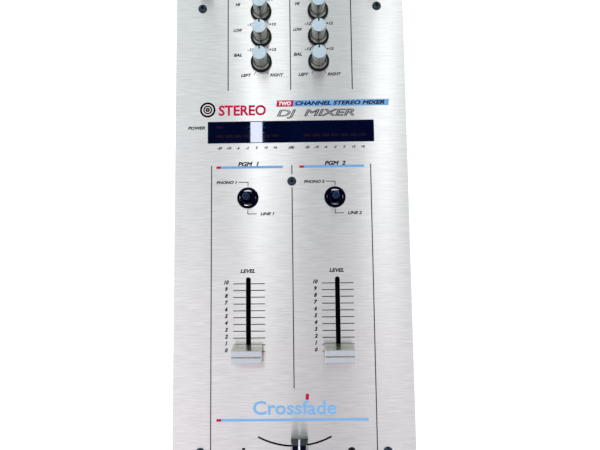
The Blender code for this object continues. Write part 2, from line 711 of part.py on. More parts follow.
def jack_block(name, x):
    """Four phono jacks in one moulded block, their barrels standing out of the rear panel."""
    depth = 0.011
    moulding = bmesh.new()
    block(moulding, (0.030, depth, 0.030), (x, INNER_Y - GAP - depth / 2, REAR_Z), 0.0005)
    jacks = make(name, moulding, "black_plastic")
    barrels, bores = bmesh.new(), bmesh.new()
    high = LENGTH / 2 + STAND_OUT
    for place_x, z in four_places(x):
        rod(barrels, JACK_RADIUS, INNER_Y - 0.003, high, (place_x, -z), 12, REAR_OUT)
        rod(bores, 0.0017, INNER_Y - 0.004, high + 0.001, (place_x, -z), 8, REAR_OUT)
    combine(jacks, "UNION", barrels)
    return combine(jacks, "DIFFERENCE", bores)


def ground_terminal():
    """A threaded post with its thumb nut, for the record players' earth wires."""
    post = bmesh.new()
    out = LENGTH / 2
    place = REAR_OUT @ Matrix.Translation((GROUND_AT[0], -GROUND_AT[1], 0))
    turned(
        post,
        [(0, out + STAND_OUT), (0.0018, out + STAND_OUT), (0.0018, out + 0.0078), (0.0046, out + 0.0072),
         (0.0046, out + 0.0028), (0.0032, out + 0.0022), (0.0032, out + GAP), (0.0020, out + GAP),
         (0.0020, out - 0.0095), (0, out - 0.0095)],
        16, place=place,
    )
    make("ground_terminal", post, "plated_steel")


def dc_inlet():
    """The round socket for the power adaptor, with its centre pin."""
    case = bmesh.new()
    depth = 0.0125
    block(case, (0.014, depth, 0.014), (INLET_AT[0], INNER_Y - GAP - depth / 2, INLET_AT[1]), 0.0005)
    inlet = make("dc_inlet", case, "black_plastic")
    nose, bore, pin = bmesh.new(), bmesh.new(), bmesh.new()
    place = (INLET_AT[0], -INLET_AT[1])
    high = LENGTH / 2 + 0.001
    rod(nose, 0.0056, INNER_Y - 0.004, high, place, 16, REAR_OUT)
    rod(bore, 0.0032, high - 0.0105, high + 0.001, place, 12, REAR_OUT)
    rod(pin, 0.0010, high - 0.0115, high - 0.0012, place, 8, REAR_OUT)
    combine(inlet, "UNION", nose)
    combine(inlet, "DIFFERENCE", bore)
    return combine(inlet, "UNION", pin)


def power_switch():
    """The rocker switch's frame, snapped into the rear panel."""
    x, z = ROCKER_AT
    out = LENGTH / 2
    case = bmesh.new()
    depth = 0.014
    block(case, (0.0190, depth, 0.0130), (x, out + GAP + 0.0005 - depth / 2, z))
    frame = make("power_switch", case, "black_plastic")
    flange = bmesh.new()
    block(flange, (0.0212, 0.0016, 0.0152), (x, out + GAP + 0.0008, z), 0.0004)
    combine(frame, "UNION", flange)
    room = bmesh.new()
    block(room, (0.0168, 0.0080, 0.0106), (x, out + 0.0006, z))
    return combine(frame, "DIFFERENCE", room)


def power_rocker():
    """The rocker, tipped to off. Its origin is on its pivot, an upright axis."""
    outline = [(-0.0074, -0.0014), (0.0074, -0.0014), (0.0074, 0.0046), (0.0, 0.0034), (-0.0074, 0.0046)]
    rocker = bmesh.new()
    prism(rocker, outline, -0.0049, 0.0049)
    at = (ROCKER_AT[0], LENGTH / 2, ROCKER_AT[1])
    make("power_rocker", rocker, "black_plastic", at, (0, 0, -ROCKER_TILT))


def plug_socket(name, x):
    """A quarter-inch socket: a threaded nose through the front panel and a case with the bore."""
    depth = 0.026
    case = bmesh.new()
    block(case, (0.016, depth, 0.016), (x, -(INNER_Y - GAP - depth / 2), FRONT_Z), 0.0005)
    socket = make(name, case, "black_plastic")
    nose, bore = bmesh.new(), bmesh.new()
    high = LENGTH / 2 + 0.0035
    rod(nose, 0.0058, INNER_Y - 0.004, high, (x, FRONT_Z), 16, FACE_OUT)
    rod(bore, PLUG_BORE, high - 0.026, high + 0.001, (x, FRONT_Z), 16, FACE_OUT)
    combine(socket, "UNION", nose)
    return combine(socket, "DIFFERENCE", bore)


def build_case():
    base_tray()
    side_panel("left_side_panel", -1)
    side_panel("right_side_panel", 1)
    faceplate()
    front_panel()
    rear_panel()
    centre_pillar()
    for name, (x, y) in zip(CORNER_NAMES, corners(*FOOT_AT)):
        foot(f"foot_{name}", x, y)
    screw = screw_mesh()
    for name, (x, y) in screw_places().items():
        place_copy(f"screw_{name}", screw, (x, y, FACE_Z))
    place_copy("screw_centre", screw, (MIDLINE_X, CENTRE_SCREW_Y, FACE_Z))


def build_inside():
    meter_window()
    meter_board()
    pot_board()
    front_pot_board()
    main_board()
    power_board()
    ribbon_cable()


def build_controls():
    for number, side in ((1, -1), (2, 1)):
        level_fader(number, side)
        switch_bezel(number, side)
        input_switch(number, side)
        switch_lever(number, side)
    crossfader()
    knobs()


def build_fittings():
    for number, x in INPUT_JACK_X.items():
        jack_block(f"input_jacks_{number}", x)
    jack_block("output_jacks", OUTPUT_JACK_X)
    ground_terminal()
    dc_inlet()
    power_switch()
    power_rocker()
    plug_socket("phones_jack", PHONES_X)
    plug_socket("mic_jack", MIC_X)


def main():
    for obj in list(bpy.data.objects):
        bpy.data.objects.remove(obj)
    build_case()
    build_inside()
    build_controls()
    build_fittings()


main()
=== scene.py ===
"""The looks of a slim two-channel mixer for two record players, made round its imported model.

Metres, +X to the right, +Y to the rear and +Z up, as in the model.
"""

import json
import math

import bmesh
import bpy
from mathutils import Euler, Matrix, Vector


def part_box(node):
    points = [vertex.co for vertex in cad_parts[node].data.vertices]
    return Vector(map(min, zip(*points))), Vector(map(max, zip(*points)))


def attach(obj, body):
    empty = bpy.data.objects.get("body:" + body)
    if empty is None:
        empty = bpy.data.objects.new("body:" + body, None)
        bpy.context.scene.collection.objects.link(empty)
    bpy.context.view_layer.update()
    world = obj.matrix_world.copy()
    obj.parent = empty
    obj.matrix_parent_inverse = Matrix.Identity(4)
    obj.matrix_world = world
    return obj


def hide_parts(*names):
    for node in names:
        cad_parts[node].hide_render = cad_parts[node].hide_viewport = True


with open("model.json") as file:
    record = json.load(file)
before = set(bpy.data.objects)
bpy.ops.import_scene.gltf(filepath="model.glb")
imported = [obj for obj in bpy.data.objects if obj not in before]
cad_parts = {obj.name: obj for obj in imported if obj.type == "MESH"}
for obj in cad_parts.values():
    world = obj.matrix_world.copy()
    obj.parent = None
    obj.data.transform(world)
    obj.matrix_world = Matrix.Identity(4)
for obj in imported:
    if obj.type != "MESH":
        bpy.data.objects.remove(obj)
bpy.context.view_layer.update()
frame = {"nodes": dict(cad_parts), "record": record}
MM = 0.001
BODY_OF = {
    node: body for body, nodes in frame["record"]["behaviour"]["bodies"].items() for node in nodes
}


def middle(node):
    """The middle of a node's box."""
    low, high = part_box(node)
    return (low + high) / 2


PLATE_LOW, PLATE_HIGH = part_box("faceplate")
FACE_Z = PLATE_HIGH.z
HALF_WIDTH = PLATE_HIGH.x
HALF_LENGTH = PLATE_HIGH.y
COLUMNS = {number: middle(f"low_knob_{number}").x for number in (1, 2)}
ROWS = {row: middle(f"{row}_knob_1").y for row in ("gain", "high", "low", "balance")}
WINDOW_RIM = Vector((3 * MM, 3 * MM, 0))    # the part of the window that lies under the faceplate
WINDOW_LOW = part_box("meter_window")[0] + WINDOW_RIM
WINDOW_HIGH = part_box("meter_window")[1] - WINDOW_RIM
CROSS_SLOT = middle("crossfader")
LEVEL_SLOTS = {number: middle(f"level_fader_{number}") for number in (1, 2)}
SWITCHES = {number: middle(f"switch_lever_{number}") for number in (1, 2)}
FADER_STEP = 4.5 * MM
INK_LOW, INK_HIGH = FACE_Z + 0.01 * MM, FACE_Z + 0.04 * MM
INK_THICK = INK_HIGH - INK_LOW
LEAN = 0.26                     # how far the lettering slants
UP = Vector((0, 0, 1))
REAR_OUT = Matrix.Rotation(-math.pi / 2, 4, "X")    # turns a fitting made along Z to face out
FRONT_OUT = Matrix.Rotation(math.pi / 2, 4, "X")


# Colours and materials


def linear(hex_colour):
    """An sRGB hex colour as linear red, green, blue and alpha."""
    parts = [int(hex_colour[start:start + 2], 16) / 255 for start in (1, 3, 5)]
    return (*[c / 12.92 if c <= 0.04045 else ((c + 0.055) / 1.055) ** 2.4 for c in parts], 1.0)


def add(tree, kind, inputs=None, **settings):
    """Adds a node. An input is given a value, or another node's output to link it to."""
    node = tree.nodes.new(kind)
    for setting, value in settings.items():
        setattr(node, setting, value)
    for socket, value in (inputs or {}).items():
        if isinstance(value, bpy.types.NodeSocket):
            tree.links.new(value, node.inputs[socket])
        else:
            node.inputs[socket].default_value = value
    return node


class Finish:
    """A material with its Principled shader. Its patterns are read from the place on the object."""

    def __init__(self, name, colour, roughness, metallic=0.0, **sockets):
        self.material = bpy.data.materials.new(name)
        self.material.use_nodes = True
        self.tree = self.material.node_tree
        self.shader = self.tree.nodes["Principled BSDF"]
        self.place = add(self.tree, "ShaderNodeTexCoord").outputs["Object"]
        sockets |= {"Base_Color": linear(colour), "Roughness": roughness, "Metallic": metallic}
        for socket, value in sockets.items():
            self.shader.inputs[socket.replace("_", " ")].default_value = value

    def pattern(self, size, stretch=(1, 1, 1), detail=3.0):
        """Noise with features about that many metres across, times the stretch on each axis."""
        spread = tuple(1 / (size * share) for share in stretch)
        mapped = add(self.tree, "ShaderNodeMapping", {"Vector": self.place, "Scale": spread})
        inputs = {"Vector": mapped.outputs[0], "Scale": 1.0, "Detail": detail}
        return add(self.tree, "ShaderNodeTexNoise", inputs).outputs[0]

    def vary(self, factor, socket, low, high):
        """Drives a socket between two values with a pattern, or with noise of that size."""
        if isinstance(factor, float):
            factor = self.pattern(factor)
        ramp = add(self.tree, "ShaderNodeValToRGB", {"Fac": factor})
        for element, position, value in zip(ramp.color_ramp.elements, (0.3, 0.7), (low, high)):
            element.position = position
            element.color = linear(value) if isinstance(value, str) else (value, value, value, 1.0)
        self.tree.links.new(ramp.outputs["Color"], self.shader.inputs[socket])

    def emboss(self, height, depth):
        """Gives the surface a relief of that depth in metres."""
        inputs = {"Height": height, "Strength": 1.0, "Distance": depth}
        bump = add(self.tree, "ShaderNodeBump", inputs)
        self.tree.links.new(bump.outputs["Normal"], self.shader.inputs["Normal"])


def brushed_anodised_aluminium():
    """Aluminium sheet brushed across its width and clear anodised: a pale grey with long fine
    streaks, whose lights smear towards the front and rear. The streaks are drawn about 0.5 mm
    apart, wider than the real grain, so that they show."""
    made = Finish("brushed_anodised_aluminium", "#d9dbdc", 0.34, 1.0, Anisotropic=1.0)
    streaks = made.pattern(0.0005, (20, 1, 1))
    patches = made.pattern(0.0009, (16, 1, 1))
    both = add(made.tree, "ShaderNodeMath", {0: streaks, 1: patches}, operation="ADD")
    half = add(made.tree, "ShaderNodeMath", {0: both.outputs[0], 1: 0.5}, operation="MULTIPLY")
    made.vary(half.outputs[0], "Base Color", "#cfd0d0", "#ebecec")
    made.vary(streaks, "Roughness", 0.29, 0.34)
    tangent = add(made.tree, "ShaderNodeTangent", direction_type="UV_MAP", uv_map="grain")
    made.tree.links.new(tangent.outputs[0], made.shader.inputs["Tangent"])
    return made.material


def screen_ink(name, colour, second):
    """Screen-printed ink: thin, nearly matt, with slightly uneven cover."""
    made = Finish(name, colour, 0.35, Specular_IOR_Level=0.12)
    made.vary(0.0007, "Base Color", colour, second)
    made.vary(0.002, "Roughness", 0.28, 0.42)
    return made.material


def satin_silver_paint(name, colour, second):
    """Moulded ABS under metallic silver paint: a smooth satin mirror, slightly warm."""
    made = Finish(name, colour, 0.24, 0.95)
    made.vary(0.006, "Base Color", colour, second)
    made.vary(0.008, "Roughness", 0.22, 0.28)
    return made.material


def pale_blue_paint(name, colour, second):
    """Painted reflection of the bright ceiling: a pale blue metallic colour on the flat tops of
    knobs and caps.
    """
    made = Finish(name, colour, 0.30, 0.9)
    made.vary(0.0009, "Base Color", colour, second)
    made.vary(0.002, "Roughness", 0.26, 0.36)
    return made.material


def glossy_black_abs():
    """Polished black ABS: blue black with a clear gloss and faint handling marks."""
    tint = linear("#7f98ff")
    made = Finish("glossy_black_abs", "#03050f", 0.12, Specular_IOR_Level=0.12, Specular_Tint=tint)
    made.vary(0.003, "Base Color", "#02040d", "#050714")
    made.vary(0.003, "Roughness", 0.08, 0.16)
    return made.material


def polished_rocker():
    """The power rocker's black nylon, polished by fingers: glossier than the case round it."""
    made = Finish("polished_rocker", "#0d0d10", 0.16)
    made.vary(0.002, "Roughness", 0.12, 0.28)
    return made.material


def navy_nylon():
    """Dark blue nylon, moulded smooth: the tip of a lever."""
    made = Finish("navy_nylon", "#051d3e", 0.3, Specular_IOR_Level=0.12)
    made.vary(0.002, "Base Color", "#041a39", "#082446")
    return made.material


def moulded_black_abs():
    """Black ABS from a spark-eroded mould: dark grey with a fine even grain."""
    made = Finish("moulded_black_abs", "#0c0c10", 0.45, Specular_IOR_Level=0.15)
    made.vary(0.004, "Base Color", "#090a0d", "#101014")
    made.vary(0.0006, "Roughness", 0.38, 0.55)
    made.emboss(made.pattern(0.0004), 0.00001)
    return made.material


def black_powder_coat():
    """Steel sheet under black powder coat: finely pebbled, drawn about 0.9 mm across so that it
    shows, which is coarser than the real texture."""
    made = Finish("black_powder_coat", "#1b1c1f", 0.5)
    grain = made.pattern(0.0009, detail=2.0)
    made.vary(grain, "Base Color", "#141517", "#25272a")
    made.vary(grain, "Roughness", 0.42, 0.6)
    made.emboss(grain, 0.00006)
    return made.material


def smoked_acrylic():
    """Smoked acrylic over a dark mask: nearly black navy, polished, with fine dust scratches."""
    made = Finish("smoked_acrylic", "#010420", 0.02, IOR=1.49, Specular_Tint=linear("#dde5ff"))
    made.vary(0.02, "Base Color", "#00021c", "#020824")
    made.vary(made.pattern(0.002, (6, 1, 1)), "Roughness", 0.01, 0.03)
    return made.material


def unlit_lamp():
    """Red lamps that are off, seen through the smoke: dull brown red."""
    made = Finish("unlit_lamp", "#1a0c1a", 0.02, Specular_Tint=linear("#dde5ff"))
    made.vary(0.0015, "Base Color", "#120918", "#26121c")
    return made.material


def black_zinc():
    """Zinc-plated steel, blackened: blue black with a satin shine and a little wear."""
    made = Finish("black_zinc", "#2c3643", 0.32, 0.85)
    made.vary(0.0012, "Base Color", "#1c2430", "#3d4b5b")
    made.vary(0.0006, "Roughness", 0.24, 0.42)
    made.emboss(made.pattern(0.0004), 0.00001)
    return made.material


def nickel_plate():
    """Bright nickel plating: a mirror with faint turning marks."""
    made = Finish("nickel_plate", "#d2d3d2", 0.18, 1.0)
    made.vary(0.001, "Base Color", "#cbccca", "#dcdddc")
    made.vary(made.pattern(0.0008, (1, 1, 4)), "Roughness", 0.14, 0.26)
    return made.material


def galvanised_steel():
    """Zinc-plated sheet steel: grey with soft cloudy spangles a few millimetres across."""
    made = Finish("galvanised_steel", "#9a9d9f", 0.35, 1.0)
    made.vary(0.004, "Base Color", "#85888b", "#aeb1b3")
    made.vary(0.002, "Roughness", 0.28, 0.45)
    return made.material


def blackened_steel():
    """A fader frame's steel, near black: partly a black dust shield and partly painted shade, so
    that the slot over it looks dark and empty.
    """
    made = Finish("blackened_steel", "#030304", 0.6, Specular_IOR_Level=0.1)
    made.vary(0.002, "Base Color", "#030304", "#08080a")
    return made.material


def neoprene_rubber():
    """Black neoprene: dull, with a fine bloom and mould grain."""
    made = Finish("neoprene_rubber", "#121212", 0.75)
    made.vary(0.003, "Base Color", "#0d0d0d", "#1b1b1c")
    made.emboss(made.pattern(0.0006), 0.00003)
    return made.material


def solder_mask():
    """Green solder mask over glass-fibre board, with the copper's tracks just showing."""
    made = Finish("solder_mask", "#0f4a2c", 0.3)
    tracks = made.pattern(0.0016, (5, 1, 1), 1.0)
    made.vary(tracks, "Base Color", "#0b3b22", "#176b3f")
    return made.material


WAVES = 0.32                    # the wave texture's scale that gives one band to a metre


def ribbon_vinyl():
    """Grey vinyl ribbon cable, its cores 1.27 mm apart."""
    made = Finish("ribbon_vinyl", "#8d9094", 0.5)
    bands = {"Vector": made.place, "Scale": WAVES / 0.00127}
    cores = add(made.tree, "ShaderNodeTexWave", bands, bands_direction="X")
    made.vary(cores.outputs[1], "Base Color", "#6d7074", "#a2a5a9")
    made.emboss(cores.outputs[1], 0.0001)
    return made.material


def jack_nylon(name, colour, second):
    """Coloured nylon round a phono jack's contact: slightly waxy."""
    made = Finish(name, colour, 0.4)
    made.vary(0.001, "Base Color", colour, second)
    return made.material


def pale_paper():
    """The roll of white paper that the mixer lies on."""
    made = Finish(
        "pale_paper", "#ffffff", 0.8, Emission_Color=linear("#ffffff"), Emission_Strength=0.55
    )
    made.vary(0.05, "Base Color", "#f6f7f8", "#fcfcfd")
    return made.material


ALUMINIUM = brushed_anodised_aluminium()
DARK_INK = screen_ink("plum_black_ink", "#170c20", "#21152b")
BLACK_INK = screen_ink("black_ink", "#08080d", "#101016")
CRIMSON_INK = screen_ink("crimson_ink", "#b4003e", "#c40747")
BLUE_INK = screen_ink("sky_blue_ink", "#6a9fd2", "#76aadb")
PALE_BLUE_INK = screen_ink("pale_blue_ink", "#79b2e6", "#83baea")
WHITE_INK = screen_ink("white_ink", "#e9eaec", "#f4f5f6")
SILVER = satin_silver_paint("satin_silver_paint", "#cac6bb", "#d0ccc2")
KNOB_SILVER = satin_silver_paint("dark_silver_paint", "#868d85", "#8e958d")
# Painted reflection: the knobs' tops and the caps' crowns are coloured pale blue for the bright
# ceiling they mirror.
KNOB_TOP_REFLECTION = pale_blue_paint("knob_top_painted_reflection", "#a9b7c3", "#b1bfca")
CAP_CROWN_REFLECTION = pale_blue_paint("cap_crown_painted_reflection", "#b7c2cb", "#bfcad2")
GLOSS_BLACK = glossy_black_abs()
GLOSS_ROCKER = polished_rocker()
NAVY = navy_nylon()
MATTE_BLACK = moulded_black_abs()
POWDER = black_powder_coat()
ACRYLIC = smoked_acrylic()
LAMP = unlit_lamp()
ZINC = black_zinc()
NICKEL = nickel_plate()
STEEL = galvanised_steel()
SHIELD_AND_SLOT_SHADE = blackened_steel()
RUBBER = neoprene_rubber()
BOARD = solder_mask()
VINYL = ribbon_vinyl()
RED_NYLON = jack_nylon("red_nylon", "#a8141c", "#c01d24")
WHITE_NYLON = jack_nylon("white_nylon", "#dcdcd6", "#eeeee9")
PAPER = pale_paper()

SLOT_OF = {                     # the record's slot that each finish belongs to; inks have none
    ALUMINIUM: "brushed_aluminium", SILVER: "silver_plastic", KNOB_SILVER: "silver_plastic",
    GLOSS_BLACK: "black_plastic", MATTE_BLACK: "black_plastic", RED_NYLON: "black_plastic",
    WHITE_NYLON: "black_plastic", ACRYLIC: "smoked_acrylic", LAMP: "smoked_acrylic",
    ZINC: "black_screw", NICKEL: "plated_steel", POWDER: "black_steel", RUBBER: "black_rubber",
}


# Making pieces

HEX = 6                         # sides of a nut or a socket
FLAT = 8                        # degrees: keeps a sheet's flat face apart from its rounded edge
CRISP = 14                      # degrees: keeps machined and moulded corners sharp
ROUND = 32                      # degrees: lets a turned shape's rounded rims run smooth


def shade(mesh, angle=CRISP):
    """Smooth faces, with the edges sharper than that angle left crisp."""
    mesh.shade_smooth()
    mesh.set_sharp_from_angle(angle=math.radians(angle))


def link(obj):
    """Puts an object in the scene."""
    bpy.context.scene.collection.objects.link(obj)
    return obj


def piece(name, mesh, material, replaces=None, body="case", slot=None):
    """Puts a finished mesh in the scene, riding on its body or on that of the node it replaces."""
    if isinstance(mesh, bmesh.types.BMesh):
        made = bpy.data.meshes.new(name)
        mesh.to_mesh(made)
        mesh.free()
        mesh = made
    mesh.materials.clear()
    mesh.materials.append(material)
    obj = link(bpy.data.objects.new(name, mesh))
    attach(obj, BODY_OF.get(replaces, body))
    slot = slot or SLOT_OF.get(material)
    if replaces:
        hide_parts(replaces)
    return obj


def close(bm):
    """Merges doubles and turns every face outwards."""
    bmesh.ops.remove_doubles(bm, verts=bm.verts, dist=1e-7)
    bmesh.ops.recalc_face_normals(bm, faces=bm.faces)
    return bm


def turned(profile, steps, ring=False, angle=ROUND):
    """A shape turned about Z from (radius, height) in millimetres. A ring's points make a loop."""
    bm = bmesh.new()
    verts = [bm.verts.new((radius * MM, 0, height * MM)) for radius, height in profile]
    pairs = list(zip(verts, verts[1:])) + ([(verts[-1], verts[0])] if ring else [])
    edges = [bm.edges.new(pair) for pair in pairs]
    bmesh.ops.spin(
        bm, geom=verts + edges, cent=(0, 0, 0), axis=UP, angle=math.tau, steps=steps, use_merge=True
    )
    return to_mesh(close(bm), angle)


def box(bm, low, high, bevel=0.0):
    """Adds a box between two corners, with its edges rounded by bevel."""
    low, high = Vector(low), Vector(high)
    place = Matrix.Translation((low + high) / 2) @ Matrix.Diagonal((*(high - low), 1))
    made = bmesh.ops.create_cube(bm, size=1.0, matrix=place)
    if bevel:
        edges = list({edge for vert in made["verts"] for edge in vert.link_edges})
        bmesh.ops.bevel(
            bm, geom=edges, offset=bevel, segments=2, profile=0.5, affect="EDGES", material=-1
        )
    return bm


def moved(source, matrix):
    """A copy of a mesh, moved."""
    mesh = source.copy()
    mesh.transform(matrix)
    return mesh


def to_mesh(bm, angle=CRISP):
    """A mesh of a bmesh, which is freed."""
    mesh = bpy.data.meshes.new("blank")
    bm.to_mesh(mesh)
    bm.free()
    shade(mesh, angle)
    return mesh


def cut(mesh, tools, angle=CRISP):
    """The mesh with the tools' shapes cut out of it."""
    obj = link(bpy.data.objects.new("cutting", mesh))
    tool = link(bpy.data.objects.new("cutting_tool", to_mesh(tools)))
    modifier = obj.modifiers.new("cut", "BOOLEAN")
    modifier.object = tool
    modifier.solver = "EXACT"
    graph = bpy.context.evaluated_depsgraph_get()
    result = bpy.data.meshes.new_from_object(obj.evaluated_get(graph))
    for made in (obj, tool):
        bpy.data.objects.remove(made)
    shade(result, angle)
    return result


def cone(bm, low_radius, high_radius, depth, sides, matrix):
    """Adds a cone or prism about Z, sized in millimetres, its middle placed by the matrix."""
    bmesh.ops.create_cone(
        bm, cap_ends=True, segments=sides, radius1=low_radius * MM, radius2=high_radius * MM,
        depth=depth * MM, matrix=matrix,
    )


def at(x, y, z, turn=Matrix()):
    """A place in metres, for a shape that is first turned."""
    return Matrix.Translation((x, y, z)) @ turn


def arc(centre, radius, first, last, steps):
    """Points along an arc, from one angle to another in degrees."""
    angles = [math.radians(first + (last - first) * step / steps) for step in range(steps + 1)]
    return [(centre[0] + radius * math.cos(a), centre[1] + radius * math.sin(a)) for a in angles]


def rounded(low, high, radius):
    """A rectangle with round corners, as a closed outline."""
    left, right = low[0] + radius, high[0] - radius
    near, far = low[1] + radius, high[1] - radius
    centres = ((right, far, 0), (left, far, 90), (left, near, 180), (right, near, 270))
    return [spot for x, y, first in centres for spot in arc((x, y), radius, first, first + 90, 6)]


def sheet_of(outlines, low, high, edge):
    """A flat sheet with holes, from closed outlines, its edges rounded by edge."""
    curve = bpy.data.curves.new("outline", "CURVE")
    curve.dimensions = "2D"
    curve.fill_mode = "BOTH"
    curve.extrude = (high - low) / 2 - edge
    curve.bevel_depth = edge
    curve.bevel_resolution = 2
    curve.offset = -edge
    for outline in outlines:
        spline = curve.splines.new("POLY")
        spline.points.add(len(outline) - 1)
        for point, (x, y) in zip(spline.points, outline):
            point.co = (x, y, 0, 1)
        spline.use_cyclic_u = True
    return curve_mesh(curve, Matrix.Translation((0, 0, (low + high) / 2)))


def curve_mesh(curve, matrix=Matrix()):
    """A curve or text made a mesh, merged and placed."""
    obj = link(bpy.data.objects.new("curve", curve))
    graph = bpy.context.evaluated_depsgraph_get()
    mesh = bpy.data.meshes.new_from_object(obj.evaluated_get(graph))
    bpy.data.objects.remove(obj)
    bpy.data.curves.remove(curve)
    bm = bmesh.new()
    bm.from_mesh(mesh)
    close(bm)
    bm.to_mesh(mesh)
    bm.free()
    mesh.transform(matrix)
    return mesh


# Printing. Its places are in millimetres from the middle of the faceplate, +Y to the rear.


class Print:
    """One colour of ink on one group of marks, gathered into one piece."""

    def __init__(self, name, material, turn=Matrix.Translation((0, 0, INK_LOW))):
        self.name, self.material, self.turn = name, material, turn
        self.bm = bmesh.new()

    def bar(self, x0, y0, x1, y1, slant=0.0):
        """A filled box, its top leaning to the right by slant."""
        made = bmesh.ops.create_cube(self.bm, size=1.0)
        for vert in made["verts"]:
            y, shift = (y1, slant) if vert.co.y > 0 else (y0, 0)
            x = (x1 if vert.co.x > 0 else x0) + shift
            vert.co = (x * MM, y * MM, (vert.co.z + 0.5) * INK_THICK)

    def line(self, points, width):
        """A line of that width through the points, with square ends."""
        for (x0, y0), (x1, y1) in zip(points, points[1:]):
            along = Vector((x1 - x0, y1 - y0, 0))
            made = bmesh.ops.create_cube(self.bm, size=1.0)
            size = Matrix.Diagonal(((along.length + width * 0.96) * MM, width * MM, INK_THICK, 1))
            turn = Matrix.Rotation(math.atan2(along.y, along.x), 4, "Z")
            place = at((x0 + x1) / 2 * MM, (y0 + y1) / 2 * MM, INK_THICK / 2, turn @ size)
            bmesh.ops.transform(self.bm, matrix=place, verts=made["verts"])

    def words(
        self, text, x, y, height, width=None, align="left", lean=LEAN, outline=0.0, weight=0.045
    ):
        """Lettering that tall, from its baseline up, and that wide if width is given."""
        font = bpy.data.curves.new("lettering", "FONT")
        font.body = text
        font.shear = lean
        font.extrude = 0.01
        font.bevel_depth = weight
        font.resolution_u = 3
        if outline:
            font.fill_mode = "NONE"
            font.extrude = 0.0
            font.bevel_depth = outline
            font.bevel_resolution = 1
        mesh = curve_mesh(font)
        xs = [vert.co.x for vert in mesh.vertices]
        zs = [vert.co.z for vert in mesh.vertices]
        scale_y = height * MM / (CAPITAL + 2 * outline)
        wide = max(xs) - min(xs)
        scale_x = width * MM / wide if width else scale_y * NARROWED
        shift = {"left": 0.0, "middle": -0.5, "right": -1.0}[align] * wide
        mesh.transform(Matrix.Translation((shift - min(xs), 0, -min(zs))))
        scale_z = INK_THICK / (max(zs) - min(zs))
        mesh.transform(Matrix.Diagonal((scale_x, scale_y, scale_z, 1)))
        mesh.transform(Matrix.Translation((x * MM, y * MM, 0)))
        self.bm.from_mesh(mesh)
        bpy.data.meshes.remove(mesh)

    def done(self):
        """Makes the piece."""
        bmesh.ops.transform(self.bm, matrix=self.turn, verts=self.bm.verts)
        piece(self.name, self.bm, self.material)


CAPITAL = 0.729                 # height of a capital in Blender's own lettering of size 1
NARROWED = 0.94                 # how much narrower the printed lettering is than Blender's own


def mm(value):
    """Metres as millimetres."""
    return value / MM


def metres(*values):
    """Millimetres as metres."""
    return tuple(value * MM for value in values)


# Faceplate


def capsule(centre, length, width, across_x=False):
    """The outline of a slot with round ends."""
    half, radius = (length - width) / 2, width / 2
    if across_x:
        return arc((centre[0] + half, centre[1]), radius, -90, 90, 12) + arc(
            (centre[0] - half, centre[1]), radius, 90, 270, 12
        )
    return arc((centre[0], centre[1] + half), radius, 0, 180, 12) + arc(
        (centre[0], centre[1] - half), radius, 180, 360, 12
    )


SLOT = (53.8 * MM, 3.2 * MM)


def knob_nodes():
    """Every knob on the faceplate."""
    tone = [f"{row}_knob_{number}" for number in (1, 2) for row in ROWS]
    return tone + ["mic_level_knob", "master_level_knob"]


def faceplate():
    outlines = [rounded((-HALF_WIDTH, -HALF_LENGTH), (HALF_WIDTH, HALF_LENGTH), 0.6 * MM)]
    outlines.append(rounded(WINDOW_LOW.xy, WINDOW_HIGH.xy, 0.4 * MM))
    for spot in LEVEL_SLOTS.values():
        outlines.append(capsule((spot.x, spot.y), *SLOT))
    outlines.append(capsule((CROSS_SLOT.x, CROSS_SLOT.y), *SLOT, across_x=True))
    for spot in SWITCHES.values():
        outlines.append(arc((spot.x, spot.y), 7.25 * MM, 0, 354, 59))
    for node in knob_nodes():
        spot = middle(node)
        outlines.append(arc((spot.x, spot.y), 4.6 * MM, 0, 350, 35))
    mesh = sheet_of(outlines, PLATE_LOW.z, PLATE_HIGH.z, 0.18 * MM)
    shade(mesh, FLAT)
    layer = mesh.uv_layers.new(name="grain")
    for loop in mesh.loops:
        spot = mesh.vertices[loop.vertex_index].co
        layer.data[loop.index].uv = (spot.y * 4, spot.x * 4)
    piece("brushed_faceplate", mesh, ALUMINIUM, "faceplate")


def divider_lines():
    """Three lines between the tone knobs, one down each side and two in the middle."""
    ink = Print("printed_divider_lines", DARK_INK)
    rear, front, channel_top, half = mm(HALF_LENGTH) - 1.0, -mm(HALF_LENGTH) + 8, 37.8, 0.34
    for x, near, far in (
        (-43.4, 90.7, rear), (0.3, 90.7, rear), (43.2, 90.7, rear), (-54.7, front, channel_top),
        (54.6, front, channel_top), (0.54, 31.3, channel_top), (0.54, -112.0, 22.2),
    ):
        ink.bar(x - half, near, x + half, far)
    ink.done()


def tone_labels():
    ink = Print("printed_tone_labels", DARK_INK)
    scales = {"gain": ("0", "10"), "high": ("-12", "+12"), "low": ("-12", "+12")}
    names = {                   # each row's name, its place left of and above the knob, its width
        "gain": ("GAIN", 19.8, 4.0, 7.6), "high": ("HI", 18.1, 4.5, 3.4),
        "low": ("LOW", 19.6, 4.0, 6.5), "balance": ("BAL", 19.4, 4.5, 6.0),
    }
    for number, column in COLUMNS.items():
        x = mm(column)
        nearer = {1: 0.0, 2: 1.9}[number]
        for row, (name, left, above, width) in names.items():
            ink.words(name, x - left + nearer, mm(ROWS[row]) + above, 2.2, width)
        for row, ends in scales.items():
            y = mm(ROWS[row]) - 10.2
            ink.words(ends[0], x - 5.0, y, 1.9, 1.6 * len(ends[0]), align="right")
            ink.words(ends[1], x + 5.4, y, 1.9, 1.7 * len(ends[1]))
        y = mm(ROWS["balance"]) - 10.2
        ink.words("LEFT", x - 14.3, y, 2.1, 7.2)
        ink.words("RIGHT", x + 6.1, y, 2.1, 9.4)
        for row in ROWS.values():
            for side in (-1, 1):
                near, far = (side * 3.9, mm(row) - 6.9), (side * 4.9, mm(row) - 8.4)
                ink.line([(x + near[0], near[1]), (x + far[0], far[1])], 0.42)
    for node, name, x in (("mic_level_knob", "MIC", 10.0), ("master_level_knob", "MASTER", -18.8)):
        spot = middle(node)
        ink.words(name, mm(spot.x) + x, mm(spot.y) - 1.0, 2.1)
    ink.done()


